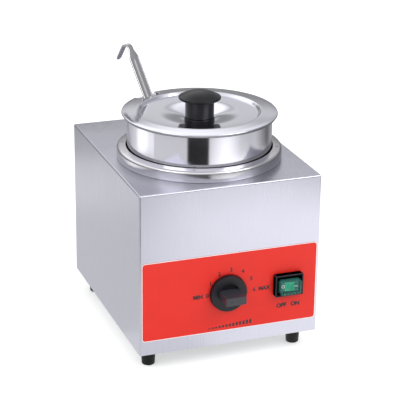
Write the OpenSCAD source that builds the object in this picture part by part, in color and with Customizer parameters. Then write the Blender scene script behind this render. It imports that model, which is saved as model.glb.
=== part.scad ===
// Single-pot electric soup kettle (round bain-marie warmer).
// A folded steel casing carries a raised collar and a round well.  A lidded pot stands in the
// well, with a ladle leaning in a notch of the lid.  A thermostat, a sealed rocker switch and a
// ring heater clamped under the well do the work.
// Frame: origin on the table at the centre of the whole outline, +Z up, controls towards -Y.

/* [Casing] */
// Width of the casing
casing_w = 212; // [210:1:240]
// Depth of the casing, front to back
casing_d = 258; // [245:1:300]
// Height of the casing without its base plate and feet
casing_h = 189; // [186:1:215]
// Thickness of the casing's sheet steel
sheet_t = 1; // [0.8:0.1:1.2]
// Outer radius of the casing's folded edges
edge_r = 1.8; // [1.5:0.1:2.4]
// Width of the flange that is folded in at the bottom
base_flange_w = 22; // [21:1:23]
// Gap between the base plate's edge and the casing's outer face
base_inset = 2; // [1:0.5:2]

/* [Feet] */
// Height of a foot
foot_h = 22; // [12:1:25]
// Radius of a foot where it meets the base plate
foot_top_r = 8.5; // [8.5:0.5:10]
// Radius of a foot at the table
foot_bottom_r = 7.5; // [7:0.5:8]
// Foot's centre from the casing's side
foot_inset_x = 18; // [13:1:18]
// Foot's centre from the casing's front or back
foot_inset_y = 25; // [12:1:30]

/* [Well] */
// Well's centre from the casing's front face
well_inset = 106; // [102:1:115]
// Clearance between the pot's wall and the well's wall
well_gap = 2.5; // [2:0.5:4.5]
// Height of the raised collar round the well
collar_h = 13.5; // [10:0.5:18]
// Width of the collar's flat top
collar_w = 9.1; // [8:0.1:10]
// Outer radius of the collar's rounded upper edge
collar_edge_r = 2.6; // [2:0.1:3.5]
// Thickness of the formed sheet of the well, pot and lid
form_t = 0.8; // [0.6:0.1:0.9]
// Radius in the well's bottom corner
well_corner_r = 4; // [3:0.5:5]
// Radius of a rivet that joins the well to the collar
collar_rivet_r = 0.8; // [0.6:0.1:1.2]

/* [Pot] */
// Outer radius of the pot's wall
pot_r = 82.5; // [78:0.5:83.5]
// Height of the pot
pot_h = 150; // [140:1:152]
// Height of the pot's rim above the collar
pot_stand = 38.4; // [35:0.1:45]
// Radius in the pot's bottom corner
pot_corner_r = 8; // [6:0.5:12]
// Reach of the pot's rolled rim beyond its wall
pot_rim_w = 4.5; // [4:0.1:5]
// Gap that keeps the pot just clear of the well's floor
seat_gap = 0.3; // [0.2:0.05:0.5]

/* [Lid] */
// Gap between the lid's lip and the pot's rim
lid_side_gap = 0.6; // [0.5:0.1:1.5]
// Depth of the lip that is turned down at the lid's edge
lid_lip_h = 1.6; // [1.5:0.1:2.4]
// Radius of the ridge where the flat rim ends
lid_ridge_r = 69.3; // [66:0.1:71]
// Rise of the rim from its edge to the ridge
lid_ridge_rise = 1.2; // [0.6:0.1:2]
// Depth of the step inside the ridge
lid_step_h = 3.2; // [2.5:0.1:5]
// Radius where the shallow dish begins
lid_dish_r = 48.7; // [44:0.1:55]
// Depth of the shallow dish
lid_dish_h = 4.5; // [3:0.1:6]
// Direction of the notch and ladle, turned from straight back towards the left
notch_turn = 28; // [20:0.5:30]
// Width of the notch as an angle
notch_angle = 21.6; // [20:0.2:26]
// Radius at which the notch ends
notch_r = 74; // [72.5:0.5:75]

/* [Lid knob] */
// Radius of the knob's stem
lid_knob_stem_r = 16.4; // [14:0.2:18]
// Radius of the knob's cap
lid_knob_cap_r = 24.1; // [22:0.1:26]
// Height of the knob's stem up to the cap's underside
lid_knob_stem_h = 20.5; // [17:0.5:26]
// Height of the cap's domed top above its shoulder
lid_knob_dome_h = 5.6; // [2:0.2:6]
// Radius of the screw that holds the knob
lid_screw_r = 2.5; // [2:0.25:3]

/* [Ladle] */
// Lean of the ladle away from upright
ladle_lean = 28.4; // [27:0.2:30]
// Width of the ladle's handle
ladle_w = 15; // [12:0.5:16]
// Thickness of the ladle's handle
ladle_t = 1.6; // [1.2:0.1:2]
// Depth of the groove pressed into the handle
ladle_groove_d = 0.7; // [0.4:0.1:0.8]
// Length of the handle from the pot's rim up to the hook's bend
ladle_reach = 58.5; // [50:0.5:70]
// Length over which the handle narrows to the hook
ladle_taper = 13; // [10:0.5:18]
// Width of the hook
hook_w = 8; // [6:0.5:9]
// Inner radius of the hook's bend
hook_r = 5.2; // [4.5:0.1:7]
// Length of the hook's straight end
hook_tip = 20; // [15:1:26]
// Radius of the ladle's bowl
bowl_r = 30; // [27:0.5:31]

/* [Controls] */
// Knob's centre to the left or right of the casing's middle
knob_x = -3.6; // [-8:0.2:8]
// Height of the knob's centre above the casing's bottom
knob_z = 63.3; // [58:0.1:66]
// Radius of the knob's disc
knob_r = 21.7; // [20.5:0.1:24]
// Front of the knob's disc from the casing's face
knob_disc_h = 7; // [6:0.5:9]
// Front of the knob's grip from the casing's face
knob_proud = 28; // [24:0.5:32]
// Length of the knob's grip
grip_l = 24.4; // [20:0.2:28]
// Thickness of the knob's grip
grip_t = 9.4; // [8:0.2:11]
// Switch's centre from the casing's middle
switch_x = 68; // [62:0.5:72]
// Height of the switch's centre above the casing's bottom
switch_z = 64.2; // [58:0.1:66]
// Width of the switch's bezel
bezel_w = 33.4; // [32:0.1:35]
// Height of the switch's bezel
bezel_h = 25.6; // [25:0.1:28]
// Front of the switch's bezel from the casing's face
bezel_proud = 8; // [7:0.5:9]
// Front of the switch's clear boot from the casing's face
boot_proud = 15.4; // [15:0.1:17]
// Angle that the rocker turns through
rocker_swing = 14; // [10:1:16]
// Width of the coloured panel
panel_w = 207; // [185:1:207]
// Height of the coloured panel
panel_h = 93.6; // [85:0.1:95]
// Bottom of the panel above the casing's bottom
panel_z = 16.4; // [14:0.1:18]
// Corner radius of the panel
panel_r = 4; // [2:0.5:8]
// Thickness of the panel
panel_t = 0.4; // [0.2:0.1:0.6]

/* [Heater] */
// Radius of the heater's tube
heater_tube_r = 3.25; // [3:0.25:3.5]
// Radius of the heater's ring
heater_ring_r = 52; // [45:1:54]
// Radius of the plate that clamps the heater, and of the shield under it
clamp_r = 65; // [60:0.5:65]
// Radius of the stud under the well
stud_r = 3; // [2.5:0.25:3.5]
// Thickness of the clamp plate
clamp_t = 1.5; // [1.2:0.1:2]

/* [Inlet] */
// Gland's centre from the casing's left side
gland_inset = 46; // [45:1:56]
// Height of the gland's centre above the casing's bottom
gland_z = 28; // [26:1:40]
// Radius of the gland's thread
gland_thread_r = 8; // [7:0.5:9]
// Radius of the gland's cable hole
gland_bore_r = 4; // [3:0.25:4.5]
// Reach of the gland behind the casing
gland_proud = 22; // [20:0.5:26]

/* [Wiring] */
// Radius of an insulated wire
wire_r = 1.4; // [1.1:0.1:1.5]

/* [Hidden] */
$fn = 72;

// Small clearances and overlaps
eps = 0.01;
run_fit = 0.06;
slip = 0.1;
thread_fit = 0.05;
touch_gap = 0.05;
wire_gap = 0.15;
cut = 1;

// Casing, worked out from its driving sizes
base_t = sheet_t;
shell_z = foot_h + base_t;
top_z = shell_z + casing_h;
shift_y = (knob_proud - gland_proud) / 2;
front_y = shift_y - casing_d / 2;
back_y = shift_y + casing_d / 2;
left_x = -casing_w / 2;
gland_x = left_x + gland_inset;
right_x = casing_w / 2;
floor_z = shell_z + sheet_t;
base_top = shell_z;
window_x = casing_w / 2 - base_flange_w;
window_front = front_y + base_flange_w;
window_back = back_y - base_flange_w;

// Screws and nuts
m4_r = 2;
m4_head_r = 3.8;
m4_head_h = 2.2;
m4_nut_r = 4;
m4_nut_h = 3.2;
base_screw_l = 8;
base_screw_inset = 12;
foot_bore_r = m4_head_r + 0.4;
foot_bore_h = 7;
foot_xs = [left_x + foot_inset_x, right_x - foot_inset_x];
foot_ys = [front_y + foot_inset_y, back_y - foot_inset_y];
foot_points = [
  for (x = foot_xs) for (y = foot_ys)
    [x, y, 0]
];
foot_round = 1.6;
base_screw_points = [
  for (side = [-1, 1]) for (share = [0.3, 0.7])
    [side * (casing_w / 2 - base_screw_inset), front_y + share * casing_d, 0],
  [0, front_y + base_screw_inset, 0],
  [0, back_y - base_screw_inset, 0]
];

// Vents in the base plate
vent_w = 3;
vent_l = 44;
vent_pitch = 9;
vent_count = 6;

// Well, collar and pot heights
collar_top = top_z + collar_h;
well_y = front_y + well_inset;
tank_r = pot_r + well_gap;
tank_out_r = tank_r + form_t;
collar_r = tank_r + collar_w;
shell_hole_r = tank_out_r + 2;
collar_foot_r = shell_hole_r + 0.3;
pot_rim_top = collar_top + pot_stand;
pot_bottom = pot_rim_top - pot_h;
tank_floor_top = pot_bottom - seat_gap;
tank_floor_bottom = tank_floor_top - form_t;
tank_flange_r = collar_r - form_t - 1.6;
rivet_ring_r = (tank_r + tank_flange_r) / 2;
rivet_head_h = 0.35;
rivet_head_r = collar_rivet_r + 0.5;
rivet_start = 66.6;

// Heater stack under the well's floor
element_z = tank_floor_bottom - heater_tube_r - touch_gap;
clamp_top = element_z - heater_tube_r - touch_gap;
stud_nut_r = stud_r * 1.85;
stud_nut_h = 4;
shield_t = 0.8;
shield_top = clamp_top - clamp_t - stud_nut_h;
stud_bottom = shield_top - shield_t - stud_nut_h - 2;
heater_gap_angle = 30;
heater_leg_r = heater_tube_r + 0.4;
heater_leg_hole_r = heater_leg_r + 2.6;
heater_leg_bottom = shield_top - shield_t - 10;
heater_pin_r = 1.5;
heater_pin_l = 9;
heater_leg_turns = [-90 - heater_gap_angle / 2, -90 + heater_gap_angle / 2];

// Thermal cut-out on the well's floor
cutout_r = 7.6;
cutout_h = 9;
cutout_ring_r = clamp_r + 0.9 + cutout_r;
cutout_turn = 135;
cutout_cap_h = 1.5;
cutout_flange_l = 27;
cutout_flange_w = 6;
cutout_flange_t = 0.8;
cutout_stud_r = 1.4;
cutout_stud_gap = 21.6;
cutout_nut_h = 2;
cutout_blade_gap = 8.4;
cutout_x = cutout_ring_r * cos(cutout_turn);
cutout_y = well_y + cutout_ring_r * sin(cutout_turn);

// Flat connector blades
blade_w = 6.3;
blade_t = 0.8;
blade_l = 8;

// Thermostat behind the front face
control_z = shell_z + knob_z;
inner_front = front_y + sheet_t;
thermostat_w = 40;
thermostat_h = 30;
thermostat_d = 24;
thermostat_back = inner_front + thermostat_d;
bush_r = 5;
shaft_r = 3;
shaft_flat_z = shaft_r - 1;
shaft_front = front_y - knob_disc_h - 8;
shaft_back = inner_front + 8;
thermostat_screw_r = 2;
thermostat_screw_gap = 28;
thermostat_blade_gap = 20;
thermostat_blade_y = thermostat_back - 6;

// Capillary bulb beside the well
bulb_r = 3;
bulb_l = 80;
bulb_turn = 225;
clip_t = 1;
bulb_ring_r = tank_out_r + bulb_r + slip + clip_t + touch_gap;
bulb_x = bulb_ring_r * cos(bulb_turn);
bulb_y = well_y + bulb_ring_r * sin(bulb_turn);
bulb_z = tank_floor_top + 8;
clip_h = 10;
capillary_r = 0.9;

// Knob
knob_back = panel_t + 0.8;
knob_skirt_t = 2;
knob_pocket_r = knob_r - 10;
knob_hollow_d = 1.4;
knob_web_t = 1.2;
knob_pocket_d = knob_disc_h - knob_back - knob_hollow_d - knob_web_t;
knob_hub_r = 6;
knob_edge_r = 0.8;
knob_dot_r = 0.7;
grip_edge_r = 1.2;

// Rocker switch
switch_c_z = shell_z + switch_z;
switch_body_w = 28;
switch_body_h = 21;
switch_body_d = 20;
switch_cut = 0.3;
rocker_w = 21;
rocker_h = 12;
rocker_room = 1.2;
rocker_side_gap = 0.5;
rocker_front = bezel_proud + 2.6;
rocker_pivot = 1;
rocker_pin_r = 1.5;
rocker_pin_l = 2;
rocker_rest = rocker_swing / 2;
bezel_rim = 1.6;
bezel_pocket_d = 2;
boot_w = 26;
boot_h = 18.4;
boot_t = 0.9;
boot_edge_r = 3;
boot_base = bezel_proud - bezel_pocket_d;
switch_back = inner_front + switch_body_d;
switch_blade_x = 7;
switch_blade_z = 5;

// Terminal block, earth screw and gland
block_x = gland_x;
earth_gap = 48;
block_y = back_y - 48;
block_w = 44;
block_d = 17;
block_h = 16;
pole_gap = 12;
block_wire_z = base_top + 7;
block_screw_r = 1.5;
block_screw_head_r = 2.8;
block_screw_head_h = 1.8;
block_screw_end = 1.5;
block_screw_gap = block_w - 8;
pole_screw_gap = 9;
pole_screw_r = 1.5;
wire_hole_r = wire_r + 0.25;
earth_x = block_x + earth_gap;
earth_y = block_y + 4;
earth_r = 2.5;
earth_nut_r = 4.6;
earth_nut_h = 3.5;
earth_wire_room = 2 * wire_r + 0.3;
gland_c_z = shell_z + gland_z;
gland_hex_r = gland_thread_r + 3;
gland_hex_l = 6;
gland_nut_l = 4;
gland_tail = gland_nut_l + 3;
inner_back = back_y - sheet_t;

// Pot and lid profile, in the well's own frame
lid_r = pot_r + pot_rim_w + lid_side_gap + form_t;
lid_gap = 0.3;
lid_flange_z = pot_rim_top + lid_gap + form_t;
lid_ridge_z = lid_flange_z + lid_ridge_rise;
lid_flat_z = lid_ridge_z - lid_step_h;
lid_pad_z = lid_flat_z - lid_dish_h;
lid_pad_r = lid_knob_stem_r + 1;
lid_bend_r = 1.2;
lid_step_run = 2.2;
lid_screw_hole_r = lid_screw_r + slip;
lid_screw_head_r = 4.6;
lid_screw_head_h = 2.6;
lid_washer_r = 7;
lid_washer_t = 1;
lid_screw_l = 14;
lid_knob_brim_t = 2.6;

// Ladle, in a frame whose +Z runs up the handle and whose +Y points outwards
ladle_cross_z = pot_rim_top + 1.1;
ladle_rim_gap = 1.3;
ladle_cross_r = pot_r - ladle_rim_gap;
bowl_sphere_r = bowl_r + 1;
bowl_centre_z = pot_bottom + form_t + bowl_sphere_r + form_t / 2 + 0.6;
bowl_offset = bowl_r + form_t / 2 + ladle_t / 2;
ladle_foot_z = (bowl_centre_z - bowl_offset * sin(ladle_lean) - ladle_cross_z) / cos(ladle_lean);
ladle_weld_l = 14;
groove_r = 10;
hook_bend = 123;
hook_mid_r = hook_r + ladle_t / 2;
hook_end = 180 - hook_bend;

// ---------------------------------------------------------------- helpers

// Points along an arc
function arc(c, r, a0, a1, n = 6) =
  [for (i = [0:n]) c + r * [cos(a0 + (a1 - a0) * i / n), sin(a0 + (a1 - a0) * i / n)]];

// Unit normal to the left of a segment
function side_normal(p, q) = [p[1] - q[1], q[0] - p[0]] / norm(q - p);

// Mitred offset direction at point i of a path
function miter(path, i) =
  let (last = len(path) - 1)
  let (a = side_normal(path[max(i - 1, 0)], path[max(i, 1)]))
  let (b = side_normal(path[min(i, last - 1)], path[min(i + 1, last)]))
  (a + b) / (1 + a * b);

// Outline of a sheet of thickness t whose middle runs along a path
function sheet_outline(path, t) = concat(
  [for (i = [0:len(path) - 1]) path[i] + miter(path, i) * t / 2],
  [for (i = [len(path) - 1:-1:0]) path[i] - miter(path, i) * t / 2]
);

// A formed sheet spun about Z
module spun_sheet(path, t = form_t) {
  rotate_extrude($fn = 96) polygon(sheet_outline(path, t));
}

// Block with rounded upright edges and rounded top edges
module folded_block(x0, x1, y0, y1, z0, z1, r) {
  translate([x0, y0 + r, z0]) cube([x1 - x0, y1 - y0 - 2 * r, z1 - z0 - r]);
  translate([x0 + r, y0, z0]) cube([x1 - x0 - 2 * r, y1 - y0, z1 - z0 - r]);
  translate([x0 + r, y0 + r, z0]) cube([x1 - x0 - 2 * r, y1 - y0 - 2 * r, z1 - z0]);
  for (x = [x0 + r, x1 - r]) {
    for (y = [y0 + r, y1 - r]) {
      translate([x, y, z0]) cylinder(r = r, h = z1 - z0 - r, $fn = 32);
      translate([x, y, z1 - r]) sphere(r = r, $fn = 32);
    }
    translate([x, y1 - r, z1 - r]) rotate([90, 0, 0]) cylinder(r = r, h = y1 - y0 - 2 * r, $fn = 32);
  }
  for (y = [y0 + r, y1 - r]) {
    translate([x0 + r, y, z1 - r]) rotate([0, 90, 0]) cylinder(r = r, h = x1 - x0 - 2 * r, $fn = 32);
  }
}

// Plate with rounded corners, standing in the XZ plane and reaching from y0 to y1
module upright_plate(cx, cz, w, h, r, y0, y1) {
  translate([cx - w / 2 + r, y0, cz - h / 2]) cube([w - 2 * r, y1 - y0, h]);
  translate([cx - w / 2, y0, cz - h / 2 + r]) cube([w, y1 - y0, h - 2 * r]);
  for (sx = [-1, 1]) {
    for (sz = [-1, 1]) {
      translate([cx + sx * (w / 2 - r), y1, cz + sz * (h / 2 - r)])
        rotate([90, 0, 0]) cylinder(r = r, h = y1 - y0, $fn = 32);
    }
  }
}

// Places its children at both ends of a width centred on x = 0
module both_sides(w) {
  for (side = [-1, 1]) {
    translate([side * w / 2, 0, 0]) children();
  }
}

// Places its children at each point of a list
module at_points(points) {
  for (p = points) {
    translate(p) children();
  }
}

// Cylinder along +Y from y0 to y1
module rod_y(x, z, r, y0, y1) {
  translate([x, y0, z]) rotate([-90, 0, 0]) cylinder(r = r, h = y1 - y0);
}

// Hexagonal nut on the Z axis, with its threaded hole
module hex_nut(r, hole_r, h) {
  difference() {
    cylinder(r = r, h = h, $fn = 6);
    translate([0, 0, -cut]) cylinder(r = hole_r, h = h + 2 * cut, $fn = 32);
  }
}

// Pan-head screw pointing up, its head's bearing face at z = 0
module pan_screw(r, l, head_r, head_h) {
  translate([0, 0, -head_h]) cylinder(r = head_r, h = head_h, $fn = 32);
  translate([0, 0, -eps]) cylinder(r = r, h = l + eps, $fn = 32);
}

// Blade of a flat connector, pointing along +Y from its root
module blade_y(x, y, z) {
  translate([x - blade_w / 2, y - eps, z - blade_t / 2]) cube([blade_w, blade_l + eps, blade_t]);
}

// Catmull-Rom curve through points, n steps between neighbours
function spline_point(p, i, t) =
  let (last = len(p) - 1)
  let (a = p[max(i - 1, 0)], b = p[i], c = p[min(i + 1, last)], d = p[min(i + 2, last)])
  0.5 * (2 * b + (c - a) * t + (2 * a - 5 * b + 4 * c - d) * t * t
    + (3 * b - a - 3 * c + d) * t * t * t);
function spline(p, n = 3) = concat(
  [for (i = [0:len(p) - 2]) for (k = [0:n - 1]) spline_point(p, i, k / n)],
  [p[len(p) - 1]]
);

// Three points in line, so that a wire leaves its terminal straight
function stub(p, d) = [p, p + d / 2, p + d];
function stub_in(p, d) = [p + d, p + d / 2, p];

// Direction of travel at each point of a route
function unit(v) = v / norm(v);
function heading(p, i) = unit(p[min(i + 1, len(p) - 1)] - p[max(i - 1, 0)]);

// Sideways directions that turn as little as possible along the route
function sideways(p, i = 0, last = [0, 0, 0]) =
  let (h = heading(p, i))
  let (start = abs(h[2]) < 0.9 ? [0, 0, 1] : [1, 0, 0])
  let (ref = norm(last) > 0 ? last : start)
  let (s = unit(ref - (ref * h) * h))
  i == len(p) - 1 ? [s] : concat([s], sideways(p, i + 1, s));

// Round tube swept along a route
module swept_tube(route, r, sides = 8) {
  count = len(route);
  side = sideways(route);
  points = [
    for (i = [0:count - 1])
      let (s = side[i], u = cross(heading(route, i), side[i]))
      for (k = [0:sides - 1])
        route[i] + r * (s * cos(360 * k / sides) + u * sin(360 * k / sides))
  ];
  walls = [
    for (i = [0:count - 2]) for (k = [0:sides - 1])
      let (a = i * sides + k, b = i * sides + (k + 1) % sides)
      each [[a, b + sides, b], [a, a + sides, b + sides]]
  ];
  caps = [
    [for (k = [0:sides - 1]) k],
    [for (k = [sides - 1:-1:0]) (count - 1) * sides + k]
  ];
  polyhedron(points = points, faces = concat(walls, caps), convexity = 10);
}

// ---------------------------------------------------------------- casing

module casing_shell() {
  color("#C8C8D0") difference() {
    folded_block(left_x, right_x, front_y, back_y, shell_z, top_z, edge_r);
    folded_block(
      left_x + sheet_t, right_x - sheet_t, inner_front, inner_back,
      floor_z, top_z - sheet_t, edge_r - sheet_t
    );
    // window in the folded bottom flange
    translate([-window_x, window_front, shell_z - cut])
      cube([2 * window_x, window_back - window_front, sheet_t + 2 * cut]);
    // hole for the well
    translate([0, well_y, top_z - 2 * sheet_t]) cylinder(r = shell_hole_r, h = 3 * sheet_t, $fn = 128);
    control_holes();
    // gland hole
    rod_y(gland_x, gland_c_z, gland_thread_r + slip, inner_back - cut, back_y + cut);
    base_holes(shell_z - cut, sheet_t + 2 * cut);
  }
}

// Holes through the face and panel for the thermostat's bush, its two screws and the switch
module control_holes() {
  y0 = front_y - cut;
  y1 = inner_front + cut;
  rod_y(knob_x, control_z, bush_r + slip, y0, y1);
  translate([knob_x, 0, control_z]) both_sides(thermostat_screw_gap)
    rod_y(0, 0, thermostat_screw_r + slip, y0, y1);
  upright_plate(
    switch_x, switch_c_z, switch_body_w + 2 * switch_cut, switch_body_h + 2 * switch_cut, 0.5, y0, y1
  );
}

// Holes that the base screws and foot screws share through plate and flange
module base_holes(z, h) {
  translate([0, 0, z]) at_points(concat(base_screw_points, foot_points))
    cylinder(r = m4_r + slip, h = h, $fn = 32);
}

module base_plate() {
  color("#B5B5BB") difference() {
    translate([left_x + base_inset, front_y + base_inset, foot_h])
      cube([casing_w - 2 * base_inset, casing_d - 2 * base_inset, base_t]);
    base_holes(foot_h - cut, base_t + 2 * cut);
    // vent slots under the heater
    for (i = [0:vent_count - 1]) {
      vent_y = well_y + (i - (vent_count - 1) / 2) * vent_pitch;
      translate([-vent_l / 2, vent_y - vent_w / 2, foot_h - cut]) cube([vent_l, vent_w, base_t + 2 * cut]);
    }
    // terminal block screws and earth screw
    translate([block_x, block_y, foot_h - cut]) both_sides(block_screw_gap)
      cylinder(r = block_screw_r + slip, h = base_t + 2 * cut, $fn = 32);
    translate([earth_x, earth_y, foot_h - cut])
      cylinder(r = earth_r + slip, h = base_t + 2 * cut, $fn = 32);
  }
}

module base_screws() {
  color("#A9A9AE") translate([0, 0, foot_h]) at_points(base_screw_points)
    pan_screw(m4_r, base_screw_l, m4_head_r, m4_head_h);
}

module base_nuts() {
  color("#A9A9AE") translate([0, 0, floor_z]) at_points(base_screw_points)
    hex_nut(m4_nut_r, m4_r + thread_fit, m4_nut_h);
}

// Tapered rubber foot with a rounded lower edge and a recessed screw hole
module foot(x, y) {
  side_lean = atan2(foot_top_r - foot_bottom_r, foot_h);
  outline = concat(
    [[0, 0]],
    arc([foot_bottom_r - foot_round, foot_round], foot_round, -90, -side_lean),
    [[foot_top_r, foot_h], [0, foot_h]]
  );
  color("#1D1D20") translate([x, y, 0]) difference() {
    rotate_extrude() polygon(outline);
    translate([0, 0, -cut]) cylinder(r = foot_bore_r, h = foot_bore_h + cut, $fn = 48);
    cylinder(r = m4_r + slip, h = foot_h + cut, $fn = 32);
  }
}

module foot_front_left() {
  foot(foot_xs[0], foot_ys[0]);
}

module foot_front_right() {
  foot(foot_xs[1], foot_ys[0]);
}

module foot_back_left() {
  foot(foot_xs[0], foot_ys[1]);
}

module foot_back_right() {
  foot(foot_xs[1], foot_ys[1]);
}

module foot_screws() {
  foot_screw_l = floor_z + m4_nut_h + 1.5 - foot_bore_h;
  color("#A9A9AE") translate([0, 0, foot_bore_h]) at_points(foot_points)
    pan_screw(m4_r, foot_screw_l, m4_head_r, m4_head_h);
}

module foot_nuts() {
  color("#A9A9AE") translate([0, 0, floor_z]) at_points(foot_points)
    hex_nut(m4_nut_r, m4_r + thread_fit, m4_nut_h);
}

// ---------------------------------------------------------------- well

module well_collar() {
  out = collar_r - form_t / 2;
  low = top_z + form_t / 2;
  high = collar_top - form_t / 2;
  bend = collar_edge_r - form_t / 2;
  path = concat(
    [[collar_foot_r, low], [out, low]],
    arc([out - bend, high - bend], bend, 0, 90),
    [[tank_r, high]]
  );
  color("#C9C9CC") translate([0, well_y, 0]) difference() {
    spun_sheet(path);
    rivet_places() cylinder(r = collar_rivet_r + eps, h = 4 * form_t, center = true, $fn = 24);
  }
}

// Four places round the flange, at the height of the joint between collar and well
module rivet_places() {
  for (i = [0:3]) {
    rotate([0, 0, 90 + rivet_start + 90 * i])
      translate([rivet_ring_r, 0, collar_top - form_t]) children();
  }
}

module collar_rivets() {
  color("#B8B8BC") translate([0, well_y, 0]) rivet_places() {
    cylinder(r = collar_rivet_r, h = 2 * form_t + rivet_head_h, center = true, $fn = 24);
    translate([0, 0, form_t]) cylinder(r = rivet_head_r, h = rivet_head_h, $fn = 24);
    translate([0, 0, -form_t - rivet_head_h]) cylinder(r = rivet_head_r, h = rivet_head_h, $fn = 24);
  }
}

module well_tank() {
  floor_mid = tank_floor_top - form_t / 2;
  wall = tank_r + form_t / 2;
  flange_mid = collar_top - 1.5 * form_t;
  path = concat(
    [[0, floor_mid]],
    arc([wall - well_corner_r, floor_mid + well_corner_r], well_corner_r, -90, 0),
    [[wall, flange_mid], [tank_flange_r, flange_mid]]
  );
  color("#B9B9BD") {
    translate([0, well_y, 0]) difference() {
      union() {
        spun_sheet(path);
        translate([0, 0, stud_bottom])
          cylinder(r = stud_r, h = tank_floor_bottom - stud_bottom + eps, $fn = 32);
      }
      rivet_places() cylinder(r = collar_rivet_r + eps, h = 5 * form_t, center = true, $fn = 24);
    }
    cutout_studs();
  }
}

// Pair of weld studs that hold the thermal cut-out
module cutout_studs() {
  stud_l = 6;
  cutout_place() translate([0, 0, -stud_l]) both_sides(cutout_stud_gap)
    cylinder(r = cutout_stud_r, h = stud_l + eps, $fn = 24);
}

// Puts its children under the well's floor where the cut-out sits
module cutout_place() {
  translate([cutout_x, cutout_y, tank_floor_bottom]) rotate([0, 0, cutout_turn + 90]) children();
}

// ---------------------------------------------------------------- heater

module heating_element() {
  color("#8A8378") translate([0, well_y, 0]) {
    translate([0, 0, element_z]) rotate([0, 0, heater_leg_turns[1]])
      rotate_extrude(angle = 360 - heater_gap_angle, $fn = 96)
        translate([heater_ring_r, 0]) circle(r = heater_tube_r, $fn = 32);
    for (turn = heater_leg_turns) {
      rotate([0, 0, turn]) translate([heater_ring_r, 0, 0]) {
        translate([0, 0, heater_leg_bottom])
          cylinder(r = heater_leg_r, h = element_z + heater_tube_r - heater_leg_bottom, $fn = 32);
        translate([0, 0, heater_leg_bottom - heater_pin_l])
          cylinder(r = heater_pin_r, h = heater_pin_l + eps, $fn = 24);
      }
    }
  }
}

// Openings through which the heater's legs pass
module heater_leg_holes(z, h) {
  for (turn = heater_leg_turns) {
    rotate([0, 0, turn]) translate([heater_ring_r, 0, z])
      cylinder(r = heater_leg_hole_r, h = h, $fn = 48);
  }
}

module heater_clamp_plate() {
  color("#9C9CA0") translate([0, well_y, clamp_top - clamp_t]) difference() {
    cylinder(r = clamp_r, h = clamp_t, $fn = 96);
    translate([0, 0, -cut]) cylinder(r = stud_r + slip, h = clamp_t + 2 * cut, $fn = 32);
    heater_leg_holes(-cut, clamp_t + 2 * cut);
  }
}

module heat_shield() {
  rim_h = 3;
  path = [
    [0, shield_top - shield_t / 2],
    [clamp_r - shield_t / 2, shield_top - shield_t / 2],
    [clamp_r - shield_t / 2, shield_top + rim_h]
  ];
  color("#B4B4B8") translate([0, well_y, 0]) difference() {
    spun_sheet(path, shield_t);
    translate([0, 0, shield_top - 2 * shield_t]) cylinder(r = stud_r + slip, h = 3 * shield_t, $fn = 32);
    heater_leg_holes(shield_top - 2 * shield_t, 3 * shield_t);
  }
}

module stud_nuts() {
  color("#A9A9AE") for (z = [shield_top, shield_top - shield_t - stud_nut_h]) {
    translate([0, well_y, z]) hex_nut(stud_nut_r, stud_r + thread_fit, stud_nut_h);
  }
}

module thermal_cutout() {
  flange_z = -cutout_cap_h - cutout_flange_t;
  color("#D8D2C4") cutout_place() {
    translate([0, 0, -cutout_h]) cylinder(r = cutout_r, h = cutout_h);
    difference() {
      translate([-cutout_flange_l / 2, -cutout_flange_w / 2, flange_z])
        cube([cutout_flange_l, cutout_flange_w, cutout_flange_t]);
      translate([0, 0, flange_z - cut]) both_sides(cutout_stud_gap)
        cylinder(r = cutout_stud_r + slip, h = cutout_flange_t + 2 * cut, $fn = 24);
    }
    both_sides(cutout_blade_gap) translate([-blade_t / 2, -blade_w / 2, -cutout_h - blade_l])
      cube([blade_t, blade_w, blade_l + eps]);
  }
}

module cutout_nuts() {
  nut_z = -cutout_cap_h - cutout_flange_t - cutout_nut_h;
  color("#A9A9AE") cutout_place() translate([0, 0, nut_z]) both_sides(cutout_stud_gap)
    hex_nut(cutout_stud_r * 1.8, cutout_stud_r + thread_fit, cutout_nut_h);
}

// ---------------------------------------------------------------- thermostat

module thermostat_body() {
  bottom = control_z - thermostat_h / 2;
  color("#E4DFD2") difference() {
    union() {
      translate([knob_x - thermostat_w / 2, inner_front, bottom])
        cube([thermostat_w, thermostat_d, thermostat_h]);
      rod_y(knob_x, control_z, bush_r, front_y - panel_t, inner_front + eps);
      translate([knob_x, thermostat_blade_y, bottom]) both_sides(thermostat_blade_gap)
        translate([-blade_t / 2, -blade_w / 2, -blade_l]) cube([blade_t, blade_w, blade_l + eps]);
    }
    rod_y(knob_x, control_z, shaft_r + run_fit, front_y - panel_t - cut, shaft_back + 0.5);
    translate([knob_x, 0, control_z]) both_sides(thermostat_screw_gap)
      rod_y(0, 0, thermostat_screw_r + thread_fit, inner_front - cut, inner_front + 7);
  }
}

// Round shaft with a flat that drives the knob
module thermostat_shaft() {
  flat_start = front_y - knob_disc_h + 0.2;
  color("#C9B26A") difference() {
    rod_y(knob_x, control_z, shaft_r, shaft_front, shaft_back);
    translate([knob_x - 2 * shaft_r, shaft_front - cut, control_z + shaft_flat_z])
      cube([4 * shaft_r, flat_start - shaft_front + cut, shaft_r]);
  }
}

module thermostat_screws() {
  color("#A9A9AE") translate([knob_x, front_y - panel_t, control_z]) both_sides(thermostat_screw_gap)
    rotate([-90, 0, 0]) pan_screw(thermostat_screw_r, 6, 3.4, 1.8);
}

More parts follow.
